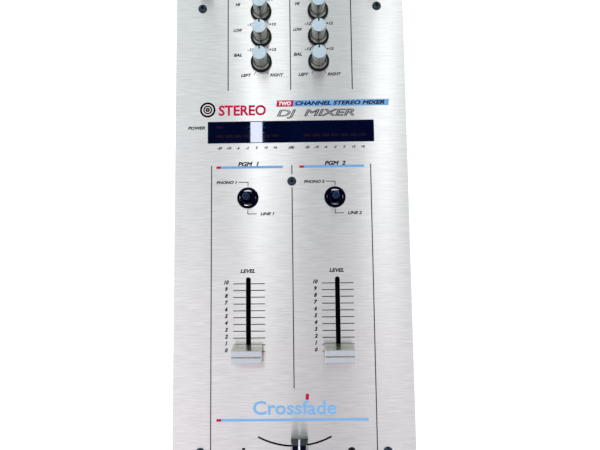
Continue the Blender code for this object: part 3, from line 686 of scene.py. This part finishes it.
def top_marks():
    """A plain crimson heading with a disc, and a strip with the mixer's kind."""
    crimson = Print("printed_crimson_heading", CRIMSON_INK)
    crimson.words("STEREO", -50.0, 73.3, 7.2, 33.0, lean=0.0, weight=0.03)
    for radius, width in ((4.7, 1.3), (2.6, 0.9), (0.9, 1.0)):
        crimson.line(arc((-57.6, 77.4), radius, 0, 360, 48), width)
    low, high, slant, joint = 78.9, 83.4, 0.7, 1.6      # the strip, and where its colours meet
    crimson.bar(-9.9, low, joint, high, slant)
    crimson.done()
    blue = Print("printed_blue_strip", BLUE_INK)
    blue.bar(joint, low, 67.8, high, slant)
    blue.done()
    lift = Matrix.Translation((0, 0, INK_HIGH))
    white = Print("printed_strip_white", WHITE_INK, lift)
    white.words("TWO", -8.2, low + 1.0, 2.7, 8.6)
    white.done()
    dark = Print("printed_strip_dark", DARK_INK, lift)
    dark.words("CHANNEL STEREO MIXER", 3.4, low + 1.0, 2.7, 62.0)
    dark.done()
    outline = Print("printed_outline_words", DARK_INK)
    outline.words("DJ  MIXER", -9.6, 72.1, 5.2, 54.0, outline=0.03)
    outline.done()


METER_MARKS = ("-20", "-10", "-6", "-3", "0", "+3", "+6")
METER_PLACES = [[first + 6.4 * number for number in range(7)] for first in (-49.2, 11.3)]


def meter_marks():
    ink = Print("printed_meter_scale", DARK_INK)
    baseline = 49.3
    for places in METER_PLACES:
        for x, mark in zip(places, METER_MARKS):
            ink.words(mark, x, baseline, 1.8, align="middle")
    ink.words("(dB)", 0.4, baseline, 1.8, align="middle")
    ink.words("POWER", -71.3, 63.6, 2.1, 12.0)
    ink.done()


def programme_marks():
    """A bar and a name over each channel, and the two inputs that its lever chooses."""
    blue = Print("printed_channel_bars", BLUE_INK)
    crimson = Print("printed_channel_ends", CRIMSON_INK)
    dark = Print("printed_channel_names", DARK_INK)
    low, high = 35.7, 37.4
    for number, left, right in ((1, -51.4, -5.6), (2, 5.7, 50.2)):
        crimson.bar(left, low, left + 3.2, high)
        blue.bar(left + 3.2, low, right, high)
        x, y = mm(SWITCHES[number].x), mm(SWITCHES[number].y)
        dark.words(f"PGM  {number}", x - 6.8, 37.3, 3.0, 14.5)
        dark.words(f"PHONO {number}", x - 22.0 + 0.4 * number, y + 9.9, 2.0, 14.2)
        dark.line([(x - 6.0, y + 10.9), (x + 0.2, y + 10.9), (x + 0.2, y + 8.4)], 0.5)
        dark.words(f"LINE {number}", x + 8.5, y - 11.9, 2.0, 9.6)
        dark.line([(x, y - 8.5), (x, y - 11.0), (x + 5.8, y - 11.0)], 0.5)
    for ink in (blue, crimson, dark):
        ink.done()


def fader_scales():
    ink = Print("printed_fader_scales", DARK_INK)
    for number, spot in LEVEL_SLOTS.items():
        x, zero = mm(spot.x), mm(spot.y) - 22.45
        middle_x = x + {1: 0.5, 2: 0.1}[number]
        for step in range(11):
            y = zero + step * mm(FADER_STEP)
            for side in (-1, 1):
                ends = sorted((x + side * 1.75, middle_x + side * 10.7))
                ink.bar(ends[0], y - 0.28, ends[1], y + 0.28)
            ink.words(str(step), x - 14.8, y - 0.1, 2.5, align="middle", weight=0.06)
        ink.words("LEVEL", x - 5.4, zero + 52.4, 2.4, 10.1)
    ink.done()


def crossfade_marks():
    """The name and bar over the crossfader, its arc and its two ends' numbers."""
    blue = Print("printed_crossfade_name", PALE_BLUE_INK)
    blue.words("Crossfade", -26.8, -128.6, 8.9, 55.0, lean=0.0, weight=0.02)
    low, high, joint = -133.05, -131.35, -47.7          # the bar, and where its colours meet
    blue.bar(joint, low, 49.3, high)
    blue.done()
    crimson = Print("printed_crossfade_end", CRIMSON_INK)
    crimson.bar(-50.9, low, joint, high)
    crimson.line([(9.1, -118.4), (9.3, -116.6)], 2.2)
    crimson.done()
    black = Print("printed_crossfade_arc", BLACK_INK)
    chord, sag, top = 23.7, 5.7, -143.1
    radius = (chord * chord + sag * sag) / (2 * sag)
    half = math.degrees(math.asin(chord / radius))
    black.line(arc((0.65, top + radius - sag), radius, 270 - half, 270 + half, 40), 1.15)
    for number, x in ((1, -36.0), (2, 33.5)):
        black.words(str(number), x, -158.2, 8.4)
    black.done()


# Knobs


KNOB_TALL, FRONT_KNOB_TALL = 15.3, 9.5
RING_TALL = 1.5                 # millimetres up to the skirt, the same on every knob
KNOB_PROFILE = [
    (0, 15.3), (4.2, 15.3), (4.54, 15.3), (4.64, 15.28), (4.71, 15.2), (4.73, 15.05), (4.70, 12.0),
    (4.68, 8.0), (4.70, 4.95), (4.76, 4.75), (4.82, 4.6), (4.82, 4.45), (4.76, 4.3), (4.80, 3.7),
    (4.92, 3.1), (5.14, 2.5), (5.44, 2.0), (5.72, 1.68), (5.88, 1.52), (5.90, 1.44), (5.80, 1.36),
    (0, 1.36),
]
RING_PROFILE = [
    (4.0, 1.44), (6.95, 1.44), (7.22, 1.38), (7.36, 1.22), (7.40, 1.0), (7.40, 0.5), (7.3, 0.32),
    (4.0, 0.32),
]


def knob_meshes(radius, height):
    """A knob's silver shell, its black base ring and the dark line in its pointer's notch. Radius
    and height scale the plain knob."""
    profile = [
        (r * radius, h if h <= RING_TALL else RING_TALL + (h - RING_TALL) * height)
        for r, h in KNOB_PROFILE
    ]
    top, rim = profile[0][1], profile[5][0]
    shell = turned(profile, 72)
    notch, pointer = bmesh.new(), bmesh.new()
    box(notch, metres(-0.5, rim - 2.1, top - 0.9), metres(0.5, rim + 1, top + 1))
    box(pointer, metres(-0.46, rim - 2.05, top - 1), metres(0.46, rim - 0.1, top - 0.45))
    shell = cut(shell, notch, ROUND)
    ring = turned([(r * radius, h) for r, h in RING_PROFILE], 72, ring=True)
    return shell, ring, to_mesh(pointer)


def paint_top(obj, paint, out, depth):
    """Gives the faces that look along out and lie within depth of the farthest of them a painted
    reflection.
    """
    obj.data.materials.append(paint)
    tops = [face for face in obj.data.polygons if face.normal.dot(out) > 0.9]
    farthest = max(face.center.dot(out) for face in tops)
    for face in tops:
        if farthest - face.center.dot(out) < depth:
            face.material_index = 1


def knob(node, meshes, place):
    """A knob in the place of its CAD node."""
    shell, ring, pointer = (moved(mesh, place) for mesh in meshes)
    obj = piece(f"{node}_shell", shell, KNOB_SILVER, node)
    # The flat top is coloured as a painted reflection of the bright ceiling.
    paint_top(obj, KNOB_TOP_REFLECTION, place.to_3x3() @ UP, 0.2 * MM)
    piece(f"{node}_ring", ring, MATTE_BLACK, body=BODY_OF[node])
    piece(f"{node}_pointer", pointer, MATTE_BLACK, body=BODY_OF[node])


def knobs():
    top_meshes = knob_meshes(1.0, 1.0)
    for node in knob_nodes():
        spot = middle(node)
        knob(node, top_meshes, at(spot.x, spot.y, FACE_Z))
    front_meshes = knob_meshes(0.9, (FRONT_KNOB_TALL - RING_TALL) / (KNOB_TALL - RING_TALL))
    for node in ("phones_level_knob", "cue_mix_knob"):
        spot = middle(node)
        knob(node, front_meshes, at(spot.x, -HALF_LENGTH, spot.z, FRONT_OUT))


# Fader caps


def cap_mesh(foot, crown, high, length):
    """A cap lying along X: sloping flanks, a crown in two bars and a hollow underside."""
    over_foot = 0.1 * MM
    half_foot, half_crown = foot / 2, crown / 2
    outline = [
        (-half_foot, 0.0), (half_foot, 0.0), (half_foot, 1.4), (half_crown + 0.25, high - 0.5),
        (half_crown, high), (0.42, high + 0.02), (0.1, high - 1.0), (-0.1, high - 1.0),
        (-0.42, high + 0.02), (-half_crown, high), (-half_crown - 0.25, high - 0.5),
        (-half_foot, 1.4),
    ]
    bm = bmesh.new()
    face = bm.faces.new([bm.verts.new((-length / 2 * MM, y * MM, z * MM)) for y, z in outline])
    made = bmesh.ops.extrude_face_region(bm, geom=[face])["geom"]
    far = [item for item in made if isinstance(item, bmesh.types.BMVert)]
    bmesh.ops.translate(bm, verts=far, vec=(length * MM, 0, 0))
    bmesh.ops.recalc_face_normals(bm, faces=bm.faces)
    rims = [
        edge for edge in bm.edges
        if edge.calc_face_angle() > 0.35 and min(vert.co.z for vert in edge.verts) > over_foot
    ]
    bmesh.ops.bevel(
        bm, geom=rims, offset=0.22 * MM, segments=3, profile=0.5, affect="EDGES", material=-1
    )
    floor = [f for f in bm.faces if f.normal.z < -0.9 and f.calc_center_median().z < over_foot]
    bmesh.ops.inset_region(bm, faces=floor, thickness=1.1 * MM)
    bmesh.ops.translate(bm, verts=list({v for f in floor for v in f.verts}), vec=(0, 0, 1.2 * MM))
    bmesh.ops.recalc_face_normals(bm, faces=bm.faces)
    return to_mesh(bm)


def fader_caps():
    for number in LEVEL_SLOTS:
        node = f"level_fader_cap_{number}"
        low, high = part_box(node)
        length, foot, tall = (mm(side) for side in high - low)
        cap = cap_mesh(foot, 7.8, tall - 0.03, length)
        spot = middle(node)
        cap.transform(at(spot.x, spot.y, low.z))
        obj = piece(f"{node}_shell", cap, SILVER, node)
        # The crown bars are coloured as a painted reflection of the bright ceiling.
        paint_top(obj, CAP_CROWN_REFLECTION, UP, 0.3 * MM)
    node = "crossfader_cap"
    low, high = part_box(node)
    foot, length, tall = (mm(side) for side in high - low)
    cap = cap_mesh(foot - 1.0, 8.0, tall - 0.06, length - 0.12)
    spot = middle(node)
    cap.transform(at(spot.x, spot.y, low.z, Matrix.Rotation(math.pi / 2, 4, "Z")))
    piece(f"{node}_shell", cap, GLOSS_BLACK, node)
    # The white line runs over the cap and down both its ends.
    left, right = spot.x - 0.6 * MM, spot.x + 0.6 * MM
    half, foot, top = (high.y - low.y) / 2, low.z + 1.0 * MM, high.z
    stripe, inset = bmesh.new(), 0.3 * MM
    box(stripe, (left, low.y + inset, top - 1.3 * MM), (right, high.y - inset, top), 0.1 * MM)
    for side in (-1, 1):
        near, far = sorted(spot.y + side * (half - depth * MM) for depth in (0.36, 0.0))
        box(stripe, (left, near, foot), (right, far, top - 0.4 * MM), 0.02 * MM)
    piece("crossfader_cap_line", stripe, WHITE_INK, body=BODY_OF[node])


# Lever switches


def lever_switches():
    bezel = turned(
        [(6.95, -1.5), (6.95, 0.25), (6.85, 0.5), (6.6, 0.66), (6.2, 0.68), (5.8, 0.55),
         (5.55, 0.25), (5.5, -0.4), (5.5, -1.5)], 72, ring=True)
    dish = turned(
        [(5.46, 0.15), (5.3, 0.12), (4.0, 0.05), (4.0, -1.2), (5.46, -1.2)],
        64, ring=True, angle=CRISP)
    sides = bmesh.new()
    for side in (-1, 1):
        near, far = sorted((side * 2.6 * MM, side * 5.25 * MM))
        box(sides, (near, -6 * MM, -2 * MM), (far, 6 * MM, 1 * MM))
    dish = cut(dish, sides)
    for number, spot in SWITCHES.items():
        place = at(spot.x, spot.y, FACE_Z)
        piece(f"switch_{number}_bezel_ring", moved(bezel, place), GLOSS_BLACK,
              f"switch_bezel_{number}")
        piece(f"switch_{number}_nickel_dish", moved(dish, place), NICKEL)


# Window, screws and the plain nodes


def meter_window():
    gap = Vector((0.3 * MM, 0.3 * MM))
    outline = rounded(WINDOW_LOW.xy + gap, WINDOW_HIGH.xy - gap, 0.3 * MM)
    pane = sheet_of([outline], FACE_Z - 3.5 * MM, FACE_Z - 0.1 * MM, 0.12 * MM)
    shade(pane, FLAT)
    piece("meter_pane", pane, ACRYLIC, "meter_window")
    lamps = bmesh.new()
    top = FACE_Z - 0.06 * MM
    rows = [(x, 57.6, 59.3) for places in METER_PLACES for x in places]
    power_lamp = (METER_PLACES[0][0], 64.2, 65.8)
    for x, near, far in (*rows, power_lamp):
        low, high = metres(x - 2.5, near), metres(x + 2.5, far)
        box(lamps, (*low, top - 0.3 * MM), (*high, top), 0.03 * MM)
    piece("meter_lamps", lamps, LAMP)


def screws():
    head = turned(
        [(0, 1.62), (1.1, 1.6), (2.0, 1.38), (2.66, 0.95), (3.0, 0.5), (3.1, 0.2), (3.08, 0.08),
         (1.5, 0.08), (1.5, -6), (0, -6)], 48)
    socket = bmesh.new()
    cone(socket, 1.25, 1.25, 2, HEX, at(0, 0, 1.6 * MM))
    head = cut(head, socket, ROUND)
    # Painted shadow: a thin black hexagon on the socket's floor darkens the hex socket.
    floor = turned([(0, 0.6), (1.1, 0.6), (1.1, 0.66), (0, 0.66)], HEX, angle=CRISP)
    panel_screws(head)
    for name in ("front_left", "front_right", "rear_left", "rear_right", "centre"):
        node = f"screw_{name}"
        spot = middle(node)
        place = at(spot.x, spot.y, FACE_Z)
        piece(f"{node}_head", moved(head, place), ZINC, node)
        # The black hexagon in each socket is painted shadow.
        piece(f"{node}_socket_painted_shadow", moved(floor, place), MATTE_BLACK, slot="black_screw")


# Rear, front, sides and feet. Each fitting is turned about Z and then set into its panel.

SURFACE = HALF_LENGTH + 0.01 * MM
REAR_PRINT = Matrix(((-1, 0, 0, 0), (0, 0, 1, SURFACE), (0, 1, 0, 0), (0, 0, 0, 1)))
FRONT_PRINT = Matrix(((1, 0, 0, 0), (0, 0, -1, -SURFACE), (0, 1, 0, 0), (0, 0, 0, 1)))


def panel_screws(head):
    """Two screws at each end of the front and rear panels."""
    small = Matrix.Scale(0.8, 4)
    for name, y, out in (("rear", HALF_LENGTH, REAR_OUT), ("front", -HALF_LENGTH, FRONT_OUT)):
        number = 0
        for x in (-74.5 * MM, 74.5 * MM):
            for z in (14 * MM, 71 * MM):
                number += 1
                place = at(x, y, z, out @ small)
                piece(f"{name}_panel_screw_{number}", moved(head, place), ZINC)


def phono_jacks():
    """Four jacks to a black moulding: a nickel barrel round a white or red insulator."""
    barrel = turned(
        [(3.15, -1.4), (4.15, -1.4), (4.15, 8.8), (4.02, 9.25), (3.75, 9.45), (3.4, 9.35),
         (3.15, 8.9)],
        48, ring=True)
    collar = turned(
        [(4.1, -2.5), (4.95, -2.5), (4.95, 0.55), (4.7, 0.8), (4.1, 0.8)],
        48, ring=True, angle=CRISP)
    insulator = turned(
        [(1.65, -2.0), (3.2, -2.0), (3.2, 8.1), (3.0, 8.3), (1.8, 8.3), (1.65, 8.1)],
        40, ring=True, angle=CRISP)
    contact = turned([(1.3, -2.0), (1.7, -2.0), (1.7, 7.6), (1.3, 7.6)], 32, ring=True, angle=CRISP)
    for node in ("input_jacks_1", "input_jacks_2", "output_jacks"):
        low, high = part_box(node)
        moulding = bmesh.new()
        box(moulding, low, (high.x, low.y + 11 * MM, high.z), 0.6 * MM)
        piece(f"{node}_moulding", moulding, MATTE_BLACK, node)
        spot = middle(node)
        for row, side, paint in (("upper", 1, WHITE_NYLON), ("lower", -1, RED_NYLON)):
            for column in (1, 2):
                x, z = spot.x + (2 * column - 3) * 7 * MM, spot.z + side * 7 * MM
                place = at(x, HALF_LENGTH, z, REAR_OUT)
                name = f"{node}_{row}_{column}"
                piece(f"{name}_barrel", moved(barrel, place), NICKEL)
                piece(f"{name}_collar", moved(collar, place), MATTE_BLACK)
                piece(f"{name}_insulator", moved(insulator, place), paint)
                piece(f"{name}_contact", moved(contact, place), NICKEL)


def ground_terminal():
    """A nickel post with a knurled thumb nut."""
    spot = middle("ground_terminal")
    place = at(spot.x, HALF_LENGTH, spot.z, REAR_OUT)
    post = turned(
        [(0, 9.45), (1.5, 9.45), (1.8, 9.1), (1.8, 0.3), (2.0, 0.3), (2.0, -9.4), (0, -9.4)], 32)
    piece("ground_post", moved(post, place), NICKEL, "ground_terminal")
    nut = turned(
        [(1.7, 7.9), (4.1, 7.9), (4.6, 7.5), (4.6, 3.1), (4.2, 2.7), (3.2, 2.4), (3.2, 0.35),
         (1.7, 0.35)],
        24, ring=True, angle=5)
    piece("ground_thumb_nut", moved(nut, place), NICKEL)


def plug_sockets():
    """Each quarter-inch socket's nickel nose and hexagon nut."""
    nose = turned(
        [(3.28, -1.0), (5.86, -1.0), (5.86, 3.3), (5.6, 3.56), (3.6, 3.56), (3.28, 3.3)],
        48, ring=True, angle=CRISP)
    nut = turned(
        [(5.0, 0.02), (7.7, 0.02), (7.7, 1.5), (7.3, 1.9), (5.0, 1.9)],
        HEX, ring=True, angle=CRISP)
    for node in ("phones_jack", "mic_jack"):
        spot = middle(node)
        place = at(spot.x, -HALF_LENGTH, spot.z, FRONT_OUT)
        piece(f"{node}_nose", moved(nose, place), NICKEL)
        piece(f"{node}_nut", moved(nut, place), NICKEL)


def label_node(ink, node, marks, right=1):
    """Upright words round a node, each with its place to the right and up, and its height. Right is
    -1 on the rear panel, where the model's +X lies to the left. Gives the node's place."""
    x, z = right * mm(middle(node).x), mm(middle(node).z)
    for text, across, up, height in marks:
        ink.words(text, x + across, z + up, height, align="middle", lean=0.0)
    return x, z


def rear_labels():
    ink = Print("printed_rear_labels", WHITE_INK, REAR_PRINT)
    inputs = ("PHONO", "LINE")
    for node, name, columns in (
        ("input_jacks_1", "INPUT 1", inputs), ("input_jacks_2", "INPUT 2", inputs),
        ("output_jacks", "OUTPUT", ("1", "2")),
    ):
        marks = [(name, 0, 17.0, 2.6), ("L", 0, 6.0, 2.2), ("R", 0, -8.0, 2.2)]
        marks += [(columns[0], -7.0, -16.5, 2.0), (columns[1], 7.0, -16.5, 2.0)]
        x, z = label_node(ink, node, marks, -1)
        ink.line([(x - 13.5, z + 15.6), (x + 13.5, z + 15.6)], 0.4)
    label_node(ink, "ground_terminal", [("GND", 0, 7.0, 2.2)], -1)
    label_node(ink, "dc_inlet", [("DC IN", 0, 8.6, 2.2)], -1)
    marks = [("POWER", 0, 10.0, 2.2), ("O", -5.0, -12.0, 2.4), ("I", 5.0, -12.0, 2.4)]
    label_node(ink, "power_switch", marks, -1)
    ink.done()


def front_labels():
    ink = Print("printed_front_labels", WHITE_INK, FRONT_PRINT)
    for node, name in (
        ("mic_jack", "MIC"), ("phones_jack", "PHONES"), ("phones_level_knob", "LEVEL"),
        ("cue_mix_knob", "CUE MIX"),
    ):
        label_node(ink, node, [(name, 0, -14.5, 2.4)])
    for node in ("phones_level_knob", "cue_mix_knob"):
        x, z = mm(middle(node).x), mm(middle(node).z)
        for step in range(11):
            angle = math.radians(-60 + 30 * step)
            x_share, z_share = math.cos(angle), math.sin(angle)
            ink.line([(x + reach * x_share, z + reach * z_share) for reach in (8.2, 9.4)], 0.4)
    ink.done()


def side_panels():
    """The folded side walls, with three countersunk screws along the foot of each."""
    screw = turned([(0, -0.15), (2.75, -0.15), (2.9, -0.3), (1.5, -1.3), (0, -1.3)], 40)
    socket = bmesh.new()
    cone(socket, 1.1, 1.1, 1.2, HEX, at(0, 0, -0.3 * MM))
    screw = cut(screw, socket, ROUND)
    for side, name in ((-1, "left"), (1, "right")):
        out = Matrix.Rotation(side * math.pi / 2, 4, "Y")
        node = frame["nodes"][f"{name}_side_panel"]
        places = [at(side * HALF_WIDTH, y, 16 * MM, out) for y in (-0.15, 0.0, 0.15)]
        sinks = bmesh.new()
        for place in places:
            cone(sinks, 1.55, 3.4, 1.6, 40, place @ at(0, 0, -0.5 * MM))
        wall = cut(moved(node.data, node.matrix_world), sinks)
        piece(f"{name}_side_wall", wall, POWDER, f"{name}_side_panel")
        for number, place in enumerate(places, 1):
            piece(f"{name}_side_screw_{number}", moved(screw, place), ZINC)


def feet():
    """Neoprene feet, each hollow under its screw."""
    rubber = turned(
        [(0, 7.7), (8.45, 7.7), (8.5, 7.5), (8.5, 5.8), (7.7, 0.7), (7.3, 0.15), (6.9, 0.0),
         (3.5, 0.0), (3.2, 0.3), (3.2, 4.0), (0, 4.0)], 56)
    screw = turned([(0, 2.9), (1.6, 3.0), (2.4, 3.4), (2.6, 4.1), (0, 4.1)], 40)
    for name in ("front_left", "front_right", "rear_left", "rear_right"):
        node = f"foot_{name}"
        spot = middle(node)
        place = at(spot.x, spot.y, 0)
        piece(f"{node}_rubber", moved(rubber, place), RUBBER, node)
        piece(f"{node}_screw", moved(screw, place), ZINC)


def plain_nodes():
    """The nodes whose CAD shape stays, each with its material; the fader frames' near black is
    partly painted shade.
    """
    finishes = {
        POWDER: ("front_panel", "rear_panel", "base_tray"),
        BOARD: ("main_board", "power_board", "meter_board", "pot_board", "front_pot_board"),
        GLOSS_BLACK: ("input_switch_1", "input_switch_2"),
        NAVY: ("switch_lever_1", "switch_lever_2"),
        MATTE_BLACK: ("dc_inlet", "power_switch", "phones_jack", "mic_jack"),
        GLOSS_ROCKER: ("power_rocker",),
        STEEL: ("centre_pillar", "level_fader_stem_1", "level_fader_stem_2", "crossfader_stem"),
        # The fader frames: near black, partly a dust shield's colour and partly painted shade in
        # the slots.
        SHIELD_AND_SLOT_SHADE: ("level_fader_1", "level_fader_2", "crossfader"),
        VINYL: ("ribbon_cable",),
    }
    for material, nodes in finishes.items():
        for node in nodes:
            mesh = frame["nodes"][node].data
            mesh.materials.clear()
            mesh.materials.append(material)


# The room

CEILING = 1.58


def strip_light(name, x, y, size, power):
    """A rectangle of light that shines straight down from the ceiling."""
    light = bpy.data.lights.new(name, "AREA")
    light.shape = "RECTANGLE"
    light.size, light.size_y = size
    light.energy = power
    link(bpy.data.objects.new(name, light)).location = (x, y, CEILING)


def room():
    """A pale paper floor, a soft sky and three strip lights overhead."""
    floor = bmesh.new()
    bmesh.ops.create_grid(floor, x_segments=1, y_segments=1, size=3.0)
    mesh = bpy.data.meshes.new("paper_floor")
    floor.to_mesh(mesh)
    floor.free()
    mesh.materials.append(PAPER)
    link(bpy.data.objects.new("paper_floor", mesh))
    sky()
    strip_light("short_strip", -0.185, 0.495, (0.048, 0.13), 0.54)
    strip_light("rear_strip", -0.083, 0.95, (0.035, 0.5), 0.5)
    strip_light("right_strip", 0.340, 0.6, (0.08, 0.8), 0.75)


# The sky's colours by the direction looked in, from -1 to 1: along Y, and across X at the rear
# and at the front.
SKY_ALONG = (
    (-1.0, "#aaa3a6"), (-0.3, "#e4d9e0"), (-0.06, "#dad5d9"), (0.04, "#d4d6d5"), (0.13, "#d3d7d6"),
    (0.19, "#24304c"), (0.33, "#24304c"), (0.40, "#d8e4e1"), (0.7, "#d5dfdc"), (1.0, "#b0b0ab"),
)
REAR_ACROSS = (
    (-0.5, "#ffffff"), (-0.29, "#ffffff"), (-0.24, "#f2f2f2"), (-0.19, "#e2e2e2"),
    (0.05, "#d2d2d2"), (0.3, "#e2e2e2"), (0.5, "#ececec"),
)
FRONT_ACROSS = (
    (-0.5, "#ffffff"), (-0.27, "#fafafa"), (-0.18, "#eeeeee"), (-0.12, "#dadada"),
    (-0.05, "#d0d0d0"), (0.03, "#bdbdbd"), (0.1, "#d2d2d2"), (0.3, "#e6e6e6"), (0.5, "#ececec"),
)


def ramp(tree, value, stops):
    """A colour ramp over a value from -1 to 1."""
    share = add(tree, "ShaderNodeMapRange", {"Value": value, "From Min": -1.0, "From Max": 1.0})
    node = add(tree, "ShaderNodeValToRGB", {"Fac": share.outputs[0]})
    elements = node.color_ramp.elements
    while len(elements) < len(stops):
        elements.new(1.0)
    for element, (position, colour) in zip(elements, stops):
        element.position = (position + 1) / 2
        element.color = linear(colour)
    return node.outputs["Color"]


def mix(tree, factor, first, second, blend="MIX"):
    """The colour between two colours."""
    inputs = {"Factor": factor, 6: first, 7: second}
    return add(tree, "ShaderNodeMix", inputs, data_type="RGBA", blend_type=blend).outputs[2]


def sky():
    """Two bright panels overhead with a dark gap between them, brighter towards both side walls."""
    world = bpy.data.worlds.new("soft_studio")
    bpy.context.scene.world = world
    world.use_nodes = True
    tree = world.node_tree
    direction = add(tree, "ShaderNodeTexCoord").outputs["Generated"]
    parts = add(tree, "ShaderNodeSeparateXYZ", {0: direction})
    turning = {"Value": parts.outputs["Y"], "From Min": -0.35, "From Max": 0.05}
    to_rear = add(tree, "ShaderNodeMapRange", turning).outputs[0]
    front, rear = (ramp(tree, parts.outputs["X"], stops) for stops in (FRONT_ACROSS, REAR_ACROSS))
    across = mix(tree, to_rear, front, rear)
    along = ramp(tree, parts.outputs["Y"], SKY_ALONG)
    background = tree.nodes["Background"]
    tree.links.new(mix(tree, 1.0, along, across, "MULTIPLY"), background.inputs["Color"])
    background.inputs["Strength"].default_value = 2.05


CAMERA_AT = (0.0091, -0.0281, 0.3858)
CAMERA_TURN = (4.549, 0.692, -0.666)    # degrees about X, Y and Z from straight down
LENS = 27.06


def camera():
    data = bpy.data.cameras.new("camera")
    data.lens = LENS
    data.sensor_width = 36.0
    data.clip_start = 0.01
    obj = link(bpy.data.objects.new("camera", data))
    obj.location = CAMERA_AT
    obj.rotation_euler = Euler([math.radians(angle) for angle in CAMERA_TURN], "XYZ")
    bpy.context.scene.camera = obj


def main():
    bpy.context.scene.view_settings.view_transform = "Standard"
    for make in (
        camera, room, faceplate, divider_lines, tone_labels, top_marks, meter_marks,
        programme_marks, fader_scales, crossfade_marks, knobs, fader_caps, lever_switches,
        meter_window, screws, phono_jacks, ground_terminal, plug_sockets, rear_labels,
        front_labels, side_panels, feet, plain_nodes,
    ):
        make()


main()
